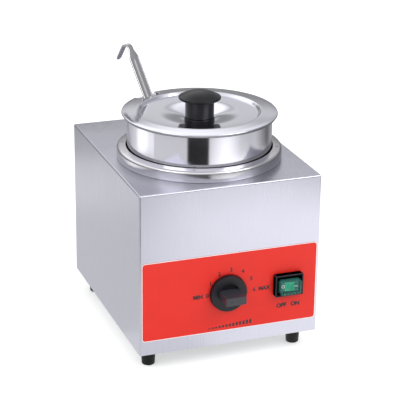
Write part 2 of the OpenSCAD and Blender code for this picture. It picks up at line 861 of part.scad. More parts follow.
// Sensing bulb upright against the well, its thin tube running back to the thermostat
module capillary_bulb() {
  start = [knob_x - thermostat_w / 2 + 5, thermostat_back + wire_gap, control_z + 8];
  end = [bulb_x, bulb_y, bulb_z + eps];
  route = spline(concat(
    stub(start, [0, 8, 0]),
    [
      [knob_x - 36, thermostat_back + 12, control_z + 2],
      [bulb_x + 6, bulb_y - 8, control_z],
      [bulb_x + 1, bulb_y - 1, control_z + 8]
    ],
    stub_in(end, [0, 0, -12])
  ), 4);
  color("#B87A4B") {
    translate([bulb_x, bulb_y, bulb_z]) cylinder(r = bulb_r, h = bulb_l, $fn = 32);
    swept_tube(route, capillary_r);
  }
}

module bulb_clips() {
  color("#B9B9BD") for (z = [bulb_z + 12, bulb_z + bulb_l - 12 - clip_h]) {
    translate([bulb_x, bulb_y, z]) rotate([0, 0, bulb_turn]) difference() {
      cylinder(r = bulb_r + slip + clip_t, h = clip_h, $fn = 32);
      translate([0, 0, -cut]) cylinder(r = bulb_r + slip, h = clip_h + 2 * cut, $fn = 32);
      translate([0, -1, -cut]) cube([bulb_r + clip_t + 1, 2, clip_h + 2 * cut]);
    }
  }
}

// Round disc with a bar grip in a shallow pocket, bored for the flatted shaft
module control_knob() {
  disc_back = front_y - knob_back;
  disc_front = front_y - knob_disc_h;
  pocket_back = disc_front + knob_pocket_d;
  grip_front = front_y - knob_proud;
  bore_end = shaft_front - 0.5;
  outline = concat(
    [[0, 0], [knob_r, 0]],
    arc([knob_r - knob_edge_r, knob_disc_h - knob_back - knob_edge_r], knob_edge_r, 0, 90),
    [[0, knob_disc_h - knob_back]]
  );
  color("#3A3D42") difference() {
    union() {
      difference() {
        translate([knob_x, disc_back, control_z]) rotate([90, 0, 0])
          rotate_extrude($fn = 96) polygon(outline);
        rod_y(knob_x, control_z, knob_pocket_r, disc_front - cut, pocket_back);
      }
      // bar grip, its pointer end to the left at rest
      upright_plate(knob_x, control_z, grip_l, grip_t, grip_edge_r, grip_front, pocket_back + eps);
    }
    // hollow under the disc that clears the thermostat's screws
    difference() {
      rod_y(knob_x, control_z, knob_r - knob_skirt_t, disc_back - knob_hollow_d, disc_back + cut);
      rod_y(knob_x, control_z, knob_hub_r, disc_back - knob_hollow_d - cut, disc_back + 2 * cut);
    }
    // bore with its flat
    difference() {
      rod_y(knob_x, control_z, shaft_r + thread_fit, bore_end, disc_back + cut);
      translate([knob_x - 2 * shaft_r, bore_end - cut, control_z + shaft_flat_z + thread_fit])
        cube([4 * shaft_r, disc_front - bore_end + cut, shaft_r]);
    }
    // pointer dot
    rod_y(knob_x - 0.2 * grip_l, control_z, knob_dot_r, grip_front - cut, grip_front + 0.5);
  }
}

// ---------------------------------------------------------------- front panel

module panel_overlay() {
  color("#E8483E") difference() {
    upright_plate(0, shell_z + panel_z + panel_h / 2, panel_w, panel_h, panel_r, front_y - panel_t, front_y);
    control_holes();
  }
}

// ---------------------------------------------------------------- switch

module switch_housing() {
  room_back = inner_front + 9;
  room_w = rocker_w + 2 * rocker_room;
  room_h = rocker_h + 2 * rocker_side_gap;
  color("#1E1F22") difference() {
    union() {
      upright_plate(switch_x, switch_c_z, bezel_w, bezel_h, 1.2, front_y - bezel_proud, front_y - panel_t);
      translate([switch_x - switch_body_w / 2, front_y - panel_t - eps, switch_c_z - switch_body_h / 2])
        cube([switch_body_w, switch_back - front_y + panel_t + eps, switch_body_h]);
      for (sx = [-1, 1]) {
        for (sz = [-1, 1]) {
          blade_y(switch_x + sx * switch_blade_x, switch_back, switch_c_z + sz * switch_blade_z);
        }
      }
    }
    // pocket that seats the boot
    upright_plate(
      switch_x, switch_c_z, bezel_w - 2 * bezel_rim, bezel_h - 2 * bezel_rim, 0.8,
      front_y - bezel_proud - cut, front_y - boot_base
    );
    // room for the rocker
    translate([switch_x - room_w / 2, front_y - bezel_proud - cut, switch_c_z - room_h / 2])
      cube([room_w, room_back - front_y + bezel_proud + cut, room_h]);
    // blind holes for the rocker's pins
    translate([switch_x, front_y - rocker_pivot, switch_c_z])
      cylinder(r = rocker_pin_r + run_fit, h = rocker_h + 2 * rocker_pin_l + 0.6, center = true, $fn = 32);
  }
}

// Rocker on its pins, tipped to its off side at rest
module switch_rocker() {
  face_h = 6;
  reach = rocker_front - rocker_pivot;
  color("#12A57C") translate([switch_x, front_y - rocker_pivot, switch_c_z]) rotate([0, 0, -rocker_rest]) {
    translate([-rocker_w / 2, -reach, -rocker_h / 2]) cube([rocker_w, face_h, rocker_h]);
    translate([-5, -reach + face_h - eps, -rocker_h / 2]) cube([10, reach - face_h + eps, rocker_h]);
    cylinder(r = 5, h = rocker_h, center = true, $fn = 48);
    cylinder(r = rocker_pin_r, h = rocker_h + 2 * rocker_pin_l, center = true, $fn = 32);
  }
}

// Clear soft cap over the rocker
module switch_boot() {
  color("#3F7F74", 0.6) difference() {
    boot_form(boot_w, boot_h, boot_edge_r, boot_proud, boot_base);
    boot_form(
      boot_w - 2 * boot_t, boot_h - 2 * boot_t, boot_edge_r - boot_t, boot_proud - boot_t, boot_base - cut
    );
  }
}

// Box with rounded upright corners and rounded front edges, reaching from base to proud
module boot_form(w, h, r, proud, base) {
  x0 = switch_x - w / 2;
  z0 = switch_c_z - h / 2;
  translate([0, front_y - base, 0]) rotate([90, 0, 0])
    folded_block(x0, x0 + w, z0, z0 + h, 0, proud - base, r);
}

// ---------------------------------------------------------------- terminals and inlet

// Three-pole block with through holes for the wires and screw holes above them
module terminal_block() {
  color("#ECECE6") translate([block_x, block_y, 0]) difference() {
    translate([-block_w / 2, -block_d / 2, base_top]) cube([block_w, block_d, block_h]);
    for (i = [-1:1]) {
      rod_y(i * pole_gap, block_wire_z, wire_hole_r, -block_d / 2 - cut, block_d / 2 + cut);
      for (side = [-1, 1]) {
        translate([i * pole_gap, side * pole_screw_gap / 2, block_wire_z])
          cylinder(r = pole_screw_r + thread_fit, h = block_h, $fn = 24);
      }
    }
    translate([0, 0, base_top - cut]) both_sides(block_screw_gap)
      cylinder(r = block_screw_r + slip, h = block_h + 2 * cut, $fn = 24);
  }
}

module terminal_screws() {
  screw_z = block_wire_z + wire_r + wire_gap;
  color("#C9B26A") translate([block_x, block_y, screw_z]) for (i = [-1:1]) {
    for (side = [-1, 1]) {
      translate([i * pole_gap, side * pole_screw_gap / 2, 0]) cylinder(r = pole_screw_r, h = 5, $fn = 24);
    }
  }
}

module terminal_block_screws() {
  color("#A9A9AE") translate([block_x, block_y, base_top + block_h]) both_sides(block_screw_gap)
    rotate([180, 0, 0])
    pan_screw(block_screw_r, block_h + base_t + block_screw_end, block_screw_head_r, block_screw_head_h);
}

module earth_screw() {
  color("#C9B26A") translate([earth_x, earth_y, foot_h]) pan_screw(earth_r, 14, 4.6, 2.6);
}

// Two nuts with the earth wire held between them
module earth_nuts() {
  color("#C9B26A") for (z = [base_top, base_top + earth_nut_h + earth_wire_room]) {
    translate([earth_x, earth_y, z]) hex_nut(earth_nut_r, earth_r + thread_fit, earth_nut_h);
  }
}

// Compression gland for the mains lead, with its domed cap
module cable_gland() {
  cap_r = gland_thread_r + 1.6;
  cap_back = gland_proud - gland_hex_l;
  outline = concat(
    [[0, 0], [cap_r, 0]],
    arc([cap_r - 3, cap_back - 3], 3, 0, 90),
    [[0, cap_back]]
  );
  color("#2A2B2E") difference() {
    union() {
      rod_y(gland_x, gland_c_z, gland_thread_r, inner_back - gland_tail, back_y + eps);
      translate([gland_x, back_y, gland_c_z]) rotate([-90, 0, 0]) {
        cylinder(r = gland_hex_r, h = gland_hex_l, $fn = 6);
        translate([0, 0, gland_hex_l - eps]) rotate_extrude() polygon(outline);
      }
    }
    rod_y(gland_x, gland_c_z, gland_bore_r, inner_back - gland_tail - cut, back_y + gland_proud + cut);
  }
}

module gland_nut() {
  color("#2A2B2E") translate([gland_x, inner_back, gland_c_z]) rotate([90, 0, 0])
    hex_nut(gland_hex_r, gland_thread_r + thread_fit, gland_nut_l);
}

// ---------------------------------------------------------------- wiring

// Height at which the wires cross the floor of the casing
lane_z = base_top + 12;

// Place where a wire enters pole i of the block
function pole(i) = [block_x + i * pole_gap, block_y - block_d / 2 + 5, block_wire_z];

// Place where a wire meets a blade of the switch
function switch_blade(sx, sz) = [
  switch_x + sx * switch_blade_x, switch_back + blade_l + wire_gap, switch_c_z + sz * switch_blade_z
];

// Place where a wire meets a blade of the thermostat
function thermostat_blade(side) = [
  knob_x + side * thermostat_blade_gap / 2, thermostat_blade_y,
  control_z - thermostat_h / 2 - blade_l - wire_gap
];

// Place where a wire meets a pin of the heater
function heater_pin(i) = [
  heater_ring_r * cos(heater_leg_turns[i]), well_y + heater_ring_r * sin(heater_leg_turns[i]),
  heater_leg_bottom - heater_pin_l - wire_gap
];

// Place where a wire meets a blade of the cut-out
function cutout_blade(side) = [
  cutout_x + side * cutout_blade_gap / 2 * cos(cutout_turn + 90),
  cutout_y + side * cutout_blade_gap / 2 * sin(cutout_turn + 90),
  tank_floor_bottom - cutout_h - blade_l - wire_gap
];

module wire(colour, start, middle, end) {
  color(colour) swept_tube(spline(concat(start, middle, end)), wire_r);
}

module wire_live_in() {
  a = pole(-1);
  b = switch_blade(1, -1);
  wire("#8A4B2A", stub(a, [0, -14, 0]), [
    [a[0] + 12, a[1] - 44, lane_z],
    [0, well_y + 36, lane_z],
    [switch_x - 4, well_y, lane_z + 4],
    [b[0] + 4, b[1] + 34, lane_z + 20]
  ], stub_in(b, [0, 12, 0]));
}

module wire_neutral_in() {
  a = pole(0);
  b = switch_blade(1, 1);
  wire("#3C62B0", stub(a, [0, -14, 0]), [
    [a[0] + 14, a[1] - 32, lane_z + 10],
    [8, well_y + 50, lane_z + 12],
    [switch_x + 8, well_y + 12, lane_z + 18],
    [b[0] + 8, b[1] + 34, b[2] - 8]
  ], stub_in(b, [0, 12, 0]));
}

module wire_live_switched() {
  a = switch_blade(-1, -1);
  b = thermostat_blade(1);
  wire("#8A4B2A", stub(a, [0, 10, 0]), [
    [a[0] - 12, a[1] + 14, a[2] - 20],
    [b[0] + 16, b[1] + 8, b[2] - 20]
  ], stub_in(b, [0, 0, -10]));
}

module wire_cutout_feed() {
  a = thermostat_blade(-1);
  b = cutout_blade(1);
  wire("#8A4B2A", stub(a, [0, 0, -10]), [
    [a[0] - 16, a[1] + 18, lane_z + 16],
    [left_x + 34, well_y - 16, lane_z + 20],
    [b[0] - 8, b[1] - 16, b[2] - 30]
  ], stub_in(b, [0, 0, -12]));
}

module wire_heater_live() {
  a = cutout_blade(-1);
  b = heater_pin(0);
  wire("#C8403A", stub(a, [0, 0, -12]), [
    [a[0] + 16, a[1] - 14, a[2] - 34],
    [-26, well_y - 8, b[2] - 24]
  ], stub_in(b, [0, 0, -10]));
}

module wire_heater_neutral() {
  a = switch_blade(-1, 1);
  b = heater_pin(1);
  wire("#3C62B0", stub(a, [0, 12, 0]), [
    [a[0] - 14, a[1] + 22, a[2] - 20],
    [b[0] + 16, b[1] + 4, b[2] - 20]
  ], stub_in(b, [0, 0, -10]));
}

module wire_earth() {
  a = pole(1);
  b = [earth_x - earth_r - wire_r - wire_gap, earth_y, base_top + earth_nut_h + earth_wire_room / 2];
  wire("#6FA03C", stub(a, [0, -12, 0]), [
    [a[0] + 8, a[1] - 16, b[2] + 4],
    [b[0] - 18, b[1] - 8, b[2] + 1]
  ], stub_in(b, [-10, 0, 0]));
}

// ---------------------------------------------------------------- pot and lid

module pot() {
  floor_mid = pot_bottom + form_t / 2;
  wall = pot_r - form_t / 2;
  rim_mid = pot_rim_top - form_t / 2;
  flare_r = 2.2;
  lip_r = 1;
  rim_out = pot_r + pot_rim_w - form_t / 2;
  path = concat(
    [[0, floor_mid]],
    arc([wall - pot_corner_r, floor_mid + pot_corner_r], pot_corner_r, -90, 0, 10),
    arc([wall + flare_r, rim_mid - flare_r], flare_r, 180, 90),
    arc([rim_out - lip_r, rim_mid - lip_r], lip_r, 90, 0, 4),
    [[rim_out, rim_mid - lip_r - 1.2]]
  );
  color("#D2D2D6") translate([0, well_y, 0]) spun_sheet(path);
}

// Middle line of the lid's sheet, from its lip to its centre
function lid_path() =
  let (half = form_t / 2)
  let (edge = lid_r - half, rim = lid_flange_z - half, lip_bend = 0.8)
  let (ridge = lid_ridge_z - half, flat = lid_flat_z - half, pad = lid_pad_z - half)
  concat(
    [[edge, rim - lid_lip_h + half]],
    arc([edge - lip_bend, rim - lip_bend], lip_bend, 0, 90, 4),
    arc([lid_ridge_r, ridge - lid_bend_r], lid_bend_r, 88, 160, 4),
    arc([lid_ridge_r - lid_step_run - lid_bend_r, flat + lid_bend_r], lid_bend_r, -20, -90, 4),
    [for (i = [0:6])
      let (s = i / 6)
      [lid_dish_r + (lid_pad_r - lid_dish_r) * s, flat + (pad - flat) * s * s]],
    [[0, pad]]
  );

module lid() {
  color("#D6D6DA") translate([0, well_y, 0]) difference() {
    spun_sheet(lid_path());
    translate([0, 0, lid_pad_z - 2 * form_t])
      cylinder(r = lid_screw_hole_r, h = 3 * form_t, $fn = 32);
    notch_wedge();
  }
}

// Wedge-shaped notch through the rim
module notch_wedge() {
  reach = lid_r + 10;
  half = notch_angle / 2;
  translate([0, 0, lid_flat_z - 6]) rotate([0, 0, notch_turn]) difference() {
    linear_extrude(height = 20)
      polygon([[0, 0], reach * [sin(half), cos(half)], reach * [-sin(half), cos(half)]]);
    translate([0, 0, -cut]) cylinder(r = notch_r, h = 20 + 2 * cut, $fn = 96);
  }
}

module lid_knob() {
  bend = 1.6;
  brim = lid_knob_brim_t / 2;
  shoulder = [lid_knob_cap_r - 3.6, lid_knob_stem_h + lid_knob_brim_t + 1.6];
  outline = concat(
    [[0, 0], [lid_knob_stem_r, 0]],
    arc([lid_knob_stem_r + bend, lid_knob_stem_h - bend], bend, 180, 90, 4),
    arc([lid_knob_cap_r - brim, lid_knob_stem_h + brim], brim, -90, 70, 8),
    [for (i = [0:8])
      let (s = i / 8)
      [shoulder[0] * (1 - s), shoulder[1] + lid_knob_dome_h * (1 - (1 - s) * (1 - s))]]
  );
  color("#26282C") translate([0, well_y, lid_pad_z]) difference() {
    rotate_extrude($fn = 96) polygon(outline);
    translate([0, 0, -cut]) cylinder(r = lid_screw_r + thread_fit, h = lid_screw_l + cut, $fn = 32);
  }
}

// Screw and washer that hold the knob from below
module lid_knob_screw() {
  color("#A9A9AE") translate([0, well_y, lid_pad_z - form_t]) {
    difference() {
      translate([0, 0, -lid_washer_t]) cylinder(r = lid_washer_r, h = lid_washer_t, $fn = 48);
      translate([0, 0, -lid_washer_t - cut])
        cylinder(r = lid_screw_hole_r, h = lid_washer_t + 2 * cut, $fn = 32);
    }
    translate([0, 0, -lid_washer_t])
      pan_screw(lid_screw_r, lid_screw_l + lid_washer_t - 1, lid_screw_head_r, lid_screw_head_h);
  }
}

// ---------------------------------------------------------------- ladle

// Puts its children where the handle crosses the pot's rim, leaning outwards
module ladle_place() {
  translate([0, well_y, 0]) rotate([0, 0, notch_turn]) translate([0, ladle_cross_r, ladle_cross_z])
    rotate([-ladle_lean, 0, 0]) children();
}

module ladle_handle() {
  shoulder = ladle_reach - ladle_taper;
  color("#C4C4C8") ladle_place() {
    difference() {
      translate([-ladle_w / 2, -ladle_t / 2, ladle_foot_z - ladle_weld_l])
        cube([ladle_w, ladle_t, shoulder - ladle_foot_z + ladle_weld_l]);
      groove(ladle_foot_z + 14, shoulder - 6);
    }
    // narrowing to the hook
    strap() polygon([
      [-ladle_w / 2, shoulder - eps], [ladle_w / 2, shoulder - eps],
      [hook_w / 2, ladle_reach + eps], [-hook_w / 2, ladle_reach + eps]
    ]);
    hook();
  }
}

// Turns a flat outline into a piece of the strap, upright in the XZ plane
module strap() {
  translate([0, ladle_t / 2, 0]) rotate([90, 0, 0]) linear_extrude(height = ladle_t) children();
}

// Shallow groove pressed into the handle's inner face, with round ends
module groove(z0, z1) {
  translate([0, ladle_groove_d - groove_r - ladle_t / 2, 0]) {
    translate([0, 0, z0]) cylinder(r = groove_r, h = z1 - z0, $fn = 96);
    translate([0, 0, z0]) sphere(r = groove_r, $fn = 96);
    translate([0, 0, z1]) sphere(r = groove_r, $fn = 96);
  }
}

// Bend and straight tip of the hook
module hook() {
  translate([-hook_w / 2, hook_mid_r, ladle_reach]) rotate([90, 0, 90]) linear_extrude(height = hook_w)
    polygon(sheet_outline(arc([0, 0], hook_mid_r, 180, hook_end, 18), ladle_t));
  translate([0, hook_mid_r * (1 + cos(hook_end)), ladle_reach + hook_mid_r * sin(hook_end)])
    rotate([-hook_bend, 0, 0]) strap() {
      translate([-hook_w / 2, -eps]) square([hook_w, hook_tip - hook_w / 2 + eps]);
      translate([0, hook_tip - hook_w / 2]) circle(r = hook_w / 2);
    }
}

module ladle_bowl() {
  brim = acos(bowl_r / bowl_sphere_r);
  color("#C4C4C8") ladle_place() translate([0, -bowl_offset, ladle_foot_z])
    spun_sheet(concat([[0, -bowl_sphere_r * sin(84)]], arc([0, 0], bowl_sphere_r, -84, -brim, 14)));
}

casing_shell();
base_plate();
base_screws();
base_nuts();
foot_front_left();
foot_front_right();
foot_back_left();
foot_back_right();
foot_screws();
foot_nuts();
well_collar();
collar_rivets();
well_tank();
heating_element();
heater_clamp_plate();
heat_shield();
stud_nuts();
thermal_cutout();
cutout_nuts();
thermostat_body();
thermostat_shaft();
thermostat_screws();
capillary_bulb();
bulb_clips();
control_knob();
panel_overlay();
switch_housing();
switch_rocker();
switch_boot();
terminal_block();
terminal_screws();
terminal_block_screws();
earth_screw();
earth_nuts();
cable_gland();
gland_nut();
wire_live_in();
wire_neutral_in();
wire_live_switched();
wire_cutout_feed();
wire_heater_live();
wire_heater_neutral();
wire_earth();
pot();
lid();
lid_knob();
lid_knob_screw();
ladle_handle();
ladle_bowl();
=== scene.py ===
"""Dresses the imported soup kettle: a steel casing, a raised well, a pot with its lid and ladle.

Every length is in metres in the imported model's own frame: the origin is on the table under the
middle of the object, +Z is up and the controls face -Y.
"""

import logging
import math
from dataclasses import dataclass, field
from enum import Enum
from typing import Sequence

import bmesh
import bpy
import numpy as np
from mathutils import Matrix, Vector


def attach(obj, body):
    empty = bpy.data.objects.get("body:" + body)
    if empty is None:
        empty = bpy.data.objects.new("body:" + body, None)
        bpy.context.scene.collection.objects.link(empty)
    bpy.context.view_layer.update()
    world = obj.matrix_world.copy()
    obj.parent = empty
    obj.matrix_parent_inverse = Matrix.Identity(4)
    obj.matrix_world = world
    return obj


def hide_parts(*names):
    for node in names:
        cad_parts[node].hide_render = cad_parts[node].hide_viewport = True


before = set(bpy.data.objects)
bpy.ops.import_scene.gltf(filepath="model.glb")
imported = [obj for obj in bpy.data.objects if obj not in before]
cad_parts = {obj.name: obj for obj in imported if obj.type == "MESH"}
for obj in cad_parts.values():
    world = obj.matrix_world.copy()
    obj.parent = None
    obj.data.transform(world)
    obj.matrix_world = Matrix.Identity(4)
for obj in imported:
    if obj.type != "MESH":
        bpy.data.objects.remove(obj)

log = logging.getLogger("soup_kettle")
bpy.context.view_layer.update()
MM = 0.001

# Shared places, in millimetres, as the construction has them
FRONT_Y = -126.0
WELL_Y = -20.0
TOP_Z = 212.0
COLLAR_TOP = 225.5
POT_RIM_TOP = 263.9
KNOB_X = -3.6
KNOB_Z = 86.3
SWITCH_X = 68.0
SWITCH_Z = 87.2
PANEL_T = 0.4
SHEET = 0.8


# ------------------------------------------------------------------ colour and nodes


def linear(hex_code: str) -> tuple[float, float, float, float]:
    """Turns an sRGB hex colour into linear light.

    Args:
        hex_code: six hex digits after a hash.

    Returns:
        Linear red, green, blue and an alpha of 1.
    """
    raw = np.array([int(hex_code[i : i + 2], 16) / 255 for i in (1, 3, 5)])
    light = np.where(raw <= 0.04045, raw / 12.92, ((raw + 0.055) / 1.055) ** 2.4)
    return (*light.tolist(), 1.0)


def add_node(
    tree: bpy.types.NodeTree, kind: str, links: dict | None = None, **values: object
) -> bpy.types.Node:
    """Adds one node with its settings and its links.

    Args:
        tree: the node tree that gets the node.
        kind: the node's type name.
        links: input name or number to the socket that feeds it.
        **values: attributes of the node, or inputs by name with spaces as underscores.

    Returns:
        The new node.
    """
    node = tree.nodes.new(kind)
    for key, value in values.items():
        if hasattr(node, key):
            setattr(node, key, value)
        else:
            node.inputs[key.replace("_", " ")].default_value = value
    for name, socket in (links or {}).items():
        tree.links.new(socket, node.inputs[name])
    return node


def blank_tree(owner: bpy.types.Material | bpy.types.World) -> bpy.types.NodeTree:
    """Clears the nodes of a new material or world.

    Args:
        owner: the material or world.

    Returns:
        Its empty node tree.
    """
    owner.use_nodes = True
    owner.node_tree.nodes.clear()
    return owner.node_tree


def blank_material(name: str) -> tuple[bpy.types.Material, bpy.types.NodeTree, bpy.types.Node]:
    """Makes a material that holds only its surface shader.

    Args:
        name: the material's name.

    Returns:
        The material, its node tree and its Principled shader.
    """
    made = bpy.data.materials.new(name)
    tree = blank_tree(made)
    shader = add_node(tree, "ShaderNodeBsdfPrincipled")
    add_node(tree, "ShaderNodeOutputMaterial", {"Surface": shader.outputs["BSDF"]})
    return made, tree, shader


def two_tones(
    tree: bpy.types.NodeTree, source: bpy.types.NodeSocket, colour: str, tone: float, edge: float
) -> bpy.types.Node:
    """Adds a ramp from a darker to a lighter tone of one colour.

    Its marks lie at edge and 1 - edge, and hold the colour times 1 - tone and 1 + tone.

    Args:
        tree: the node tree that gets the ramp.
        source: the socket that drives it.
        colour: the middle colour, six hex digits after a hash.
        tone: how far each end leaves the middle, as a share of it.
        edge: place of the darker mark.

    Returns:
        The ramp's node.
    """
    base = np.array(linear(colour)[:3])
    ramp = add_node(tree, "ShaderNodeValToRGB", {"Fac": source})
    ends = ((edge, base * (1 - tone)), (1 - edge, np.minimum(base * (1 + tone), 1)))
    for mark, (place, shade) in zip(ramp.color_ramp.elements, ends):
        mark.position = place
        mark.color = (*shade.tolist(), 1)
    return ramp


def feed(tree: bpy.types.NodeTree, shader: bpy.types.Node, *nodes: bpy.types.Node) -> None:
    """Links a tone, a roughness and a height, in that order, to a shader.

    Args:
        tree: the node tree that holds them.
        shader: the shader that gets them.
        *nodes: the ramp, the range and the bump.
    """
    sockets = (("Color", "Base Color"), ("Result", "Roughness"), ("Normal", "Normal"))
    for node, (out, into) in zip(nodes, sockets):
        tree.links.new(node.outputs[out], shader.inputs[into])


# ------------------------------------------------------------------ finishes


class Grain(Enum):
    """The way that polishing or brushing lines run."""

    UPRIGHT = "upright"
    FORE_AND_AFT = "fore and aft"
    ROUND_THE_WELL = "round the well"


@dataclass(frozen=True)
class Finish:
    """A surface finish that can make its material once."""

    name: str
    colour: str

    def material(self) -> bpy.types.Material:
        """Returns the finish's material, made on first use."""
        return bpy.data.materials.get(self.name) or self.build()

    def build(self) -> bpy.types.Material:
        """Makes the material.

        Returns:
            The new material.
        """
        raise NotImplementedError


@dataclass(frozen=True)
class LinedSteel(Finish):
    """Stainless steel 1.4301 with brushing or polishing lines.

    The lines of a real grit 240 belt are 0.1 mm apart, too fine to show, so they are drawn at
    line_mm.  They give the eye a soft streaked gleam along the grain.
    """

    grain: Grain = Grain.UPRIGHT
    roughness: float = 0.3
    spread: float = 0.08
    line_mm: float = 0.7
    length_mm: float = 90.0
    tone: float = 0.06
    bump: float = 0.12
    cloud_mm: float = 60.0
    stretch: float = 0.0

    def build(self) -> bpy.types.Material:
        """Makes metal whose tone, roughness and height follow one stretched noise.

        Returns:
            The new material.
        """
        made, tree, shader = blank_material(self.name)
        place = add_node(tree, "ShaderNodeTexCoord")
        fine, long = 1000 / self.line_mm, 1000 / self.length_mm
        if self.grain is Grain.ROUND_THE_WELL:
            moved = add_node(
                tree, "ShaderNodeMapping", {"Vector": place.outputs["Object"]},
                Location=(0, -WELL_Y * MM, 0),
            )
            split = add_node(tree, "ShaderNodeSeparateXYZ", {"Vector": moved.outputs["Vector"]})
            flat = add_node(
                tree, "ShaderNodeCombineXYZ", {"X": split.outputs["X"], "Y": split.outputs["Y"]}
            )
            reach = add_node(
                tree, "ShaderNodeVectorMath", {0: flat.outputs["Vector"]}, operation="LENGTH"
            )
            lines = add_node(
                tree, "ShaderNodeCombineXYZ", {"X": reach.outputs["Value"], "Z": split.outputs["Z"]}
            )
            if self.stretch > 0:
                # the gleam is drawn out across the lines, which run round the well
                axis = add_node(tree, "ShaderNodeCombineXYZ", Z=1.0)
                along = add_node(
                    tree, "ShaderNodeVectorMath", {0: axis.outputs["Vector"], 1: flat.outputs["Vector"]},
                    operation="CROSS_PRODUCT",
                )
                tree.links.new(along.outputs["Vector"], shader.inputs["Tangent"])
                shader.inputs["Anisotropic"].default_value = self.stretch
                shader.inputs["Anisotropic Rotation"].default_value = 0.25
            scaled = add_node(
                tree, "ShaderNodeMapping", {"Vector": lines.outputs["Vector"]}, Scale=(fine, 1, fine)
            )
        else:
            scale = (fine, fine, long) if self.grain is Grain.UPRIGHT else (fine, long, fine)
            scaled = add_node(tree, "ShaderNodeMapping", {"Vector": place.outputs["Object"]}, Scale=scale)
        streak = add_node(
            tree, "ShaderNodeTexNoise", {"Vector": scaled.outputs["Vector"]},
            Scale=1.0, Detail=3.0, Roughness=0.6,
        )
        cloud = add_node(
            tree, "ShaderNodeTexNoise", {"Vector": place.outputs["Object"]},
            Scale=1000 / self.cloud_mm, Detail=2.0, Roughness=0.5,
        )
        mixed = add_node(
            tree, "ShaderNodeMix", {"A": streak.outputs["Fac"], "B": cloud.outputs["Fac"]},
            data_type="FLOAT", Factor=0.35,
        )
        ramp = two_tones(tree, mixed.outputs["Result"], self.colour, self.tone, 0.25)
        rough = add_node(
            tree, "ShaderNodeMapRange", {"Value": mixed.outputs["Result"]},
            From_Min=0.25, From_Max=0.75,
            To_Min=max(self.roughness - self.spread, 0.02), To_Max=self.roughness + self.spread,
        )
        height = add_node(
            tree, "ShaderNodeBump", {"Height": streak.outputs["Fac"]}, Strength=self.bump, Distance=0.0001
        )
        feed(tree, shader, ramp, rough, height)
        shader.inputs["Metallic"].default_value = 1.0
        return made


@dataclass(frozen=True)
class GrainedSolid(Finish):
    """A moulded, drawn or plated solid: plastic, rubber, phenolic, brass or zinc.

    The grain is what a mould's spark-eroded face leaves, about 0.1 mm across, drawn coarser.
    """

    roughness: float = 0.4
    metallic: float = 0.0
    grain_mm: float = 0.5
    bump: float = 0.15
    tone: float = 0.06
    coat: float = 0.0
    gloss: float = 0.5

    def build(self) -> bpy.types.Material:
        """Makes a solid colour with a fine grain in tone, gloss and height.

        Returns:
            The new material.
        """
        made, tree, shader = blank_material(self.name)
        place = add_node(tree, "ShaderNodeTexCoord")
        grain = add_node(
            tree, "ShaderNodeTexNoise", {"Vector": place.outputs["Object"]},
            Scale=1000 / self.grain_mm, Detail=2.0, Roughness=0.6,
        )
        wear = add_node(
            tree, "ShaderNodeTexNoise", {"Vector": place.outputs["Object"]},
            Scale=1000 / (40 * self.grain_mm), Detail=3.0, Roughness=0.55,
        )
        ramp = two_tones(tree, wear.outputs["Fac"], self.colour, self.tone, 0.3)
        rough = add_node(
            tree, "ShaderNodeMapRange", {"Value": wear.outputs["Fac"]},
            From_Min=0.3, From_Max=0.7, To_Min=self.roughness * 0.88, To_Max=self.roughness * 1.12,
        )
        height = add_node(
            tree, "ShaderNodeBump", {"Height": grain.outputs["Fac"]}, Strength=self.bump, Distance=0.00005
        )
        feed(tree, shader, ramp, rough, height)
        shader.inputs["Metallic"].default_value = self.metallic
        shader.inputs["Coat Weight"].default_value = self.coat
        shader.inputs["Coat Roughness"].default_value = 0.12
        if self.metallic == 0.0:
            shader.inputs["Specular IOR Level"].default_value = self.gloss
        return made


@dataclass(frozen=True)
class ClearSilicone(Finish):
    """Tinted silicone rubber, cast thin: soft-edged gleams over what lies behind it."""

    roughness: float = 0.2
    cover: float = 0.2

    def build(self) -> bpy.types.Material:
        """Makes a thin tinted skin with an uneven gloss, denser where it is seen edge on.

        Returns:
            The new material.
        """
        made, tree, shader = blank_material(self.name)
        place = add_node(tree, "ShaderNodeTexCoord")
        ripple = add_node(
            tree, "ShaderNodeTexNoise", {"Vector": place.outputs["Object"]}, Scale=120.0, Detail=1.0
        )
        height = add_node(
            tree, "ShaderNodeBump", {"Height": ripple.outputs["Fac"]}, Strength=0.08, Distance=0.0002
        )
        tree.links.new(height.outputs["Normal"], shader.inputs["Normal"])
        shader.inputs["Base Color"].default_value = linear(self.colour)
        shader.inputs["Roughness"].default_value = self.roughness
        shader.inputs["IOR"].default_value = 1.41
        edge = add_node(tree, "ShaderNodeLayerWeight", Blend=0.3)
        dense = add_node(
            tree, "ShaderNodeMapRange", {"Value": edge.outputs["Facing"]},
            From_Min=0.0, From_Max=1.0, To_Min=self.cover * 0.5, To_Max=min(self.cover * 4, 0.95),
        )
        tree.links.new(dense.outputs["Result"], shader.inputs["Alpha"])
        return made


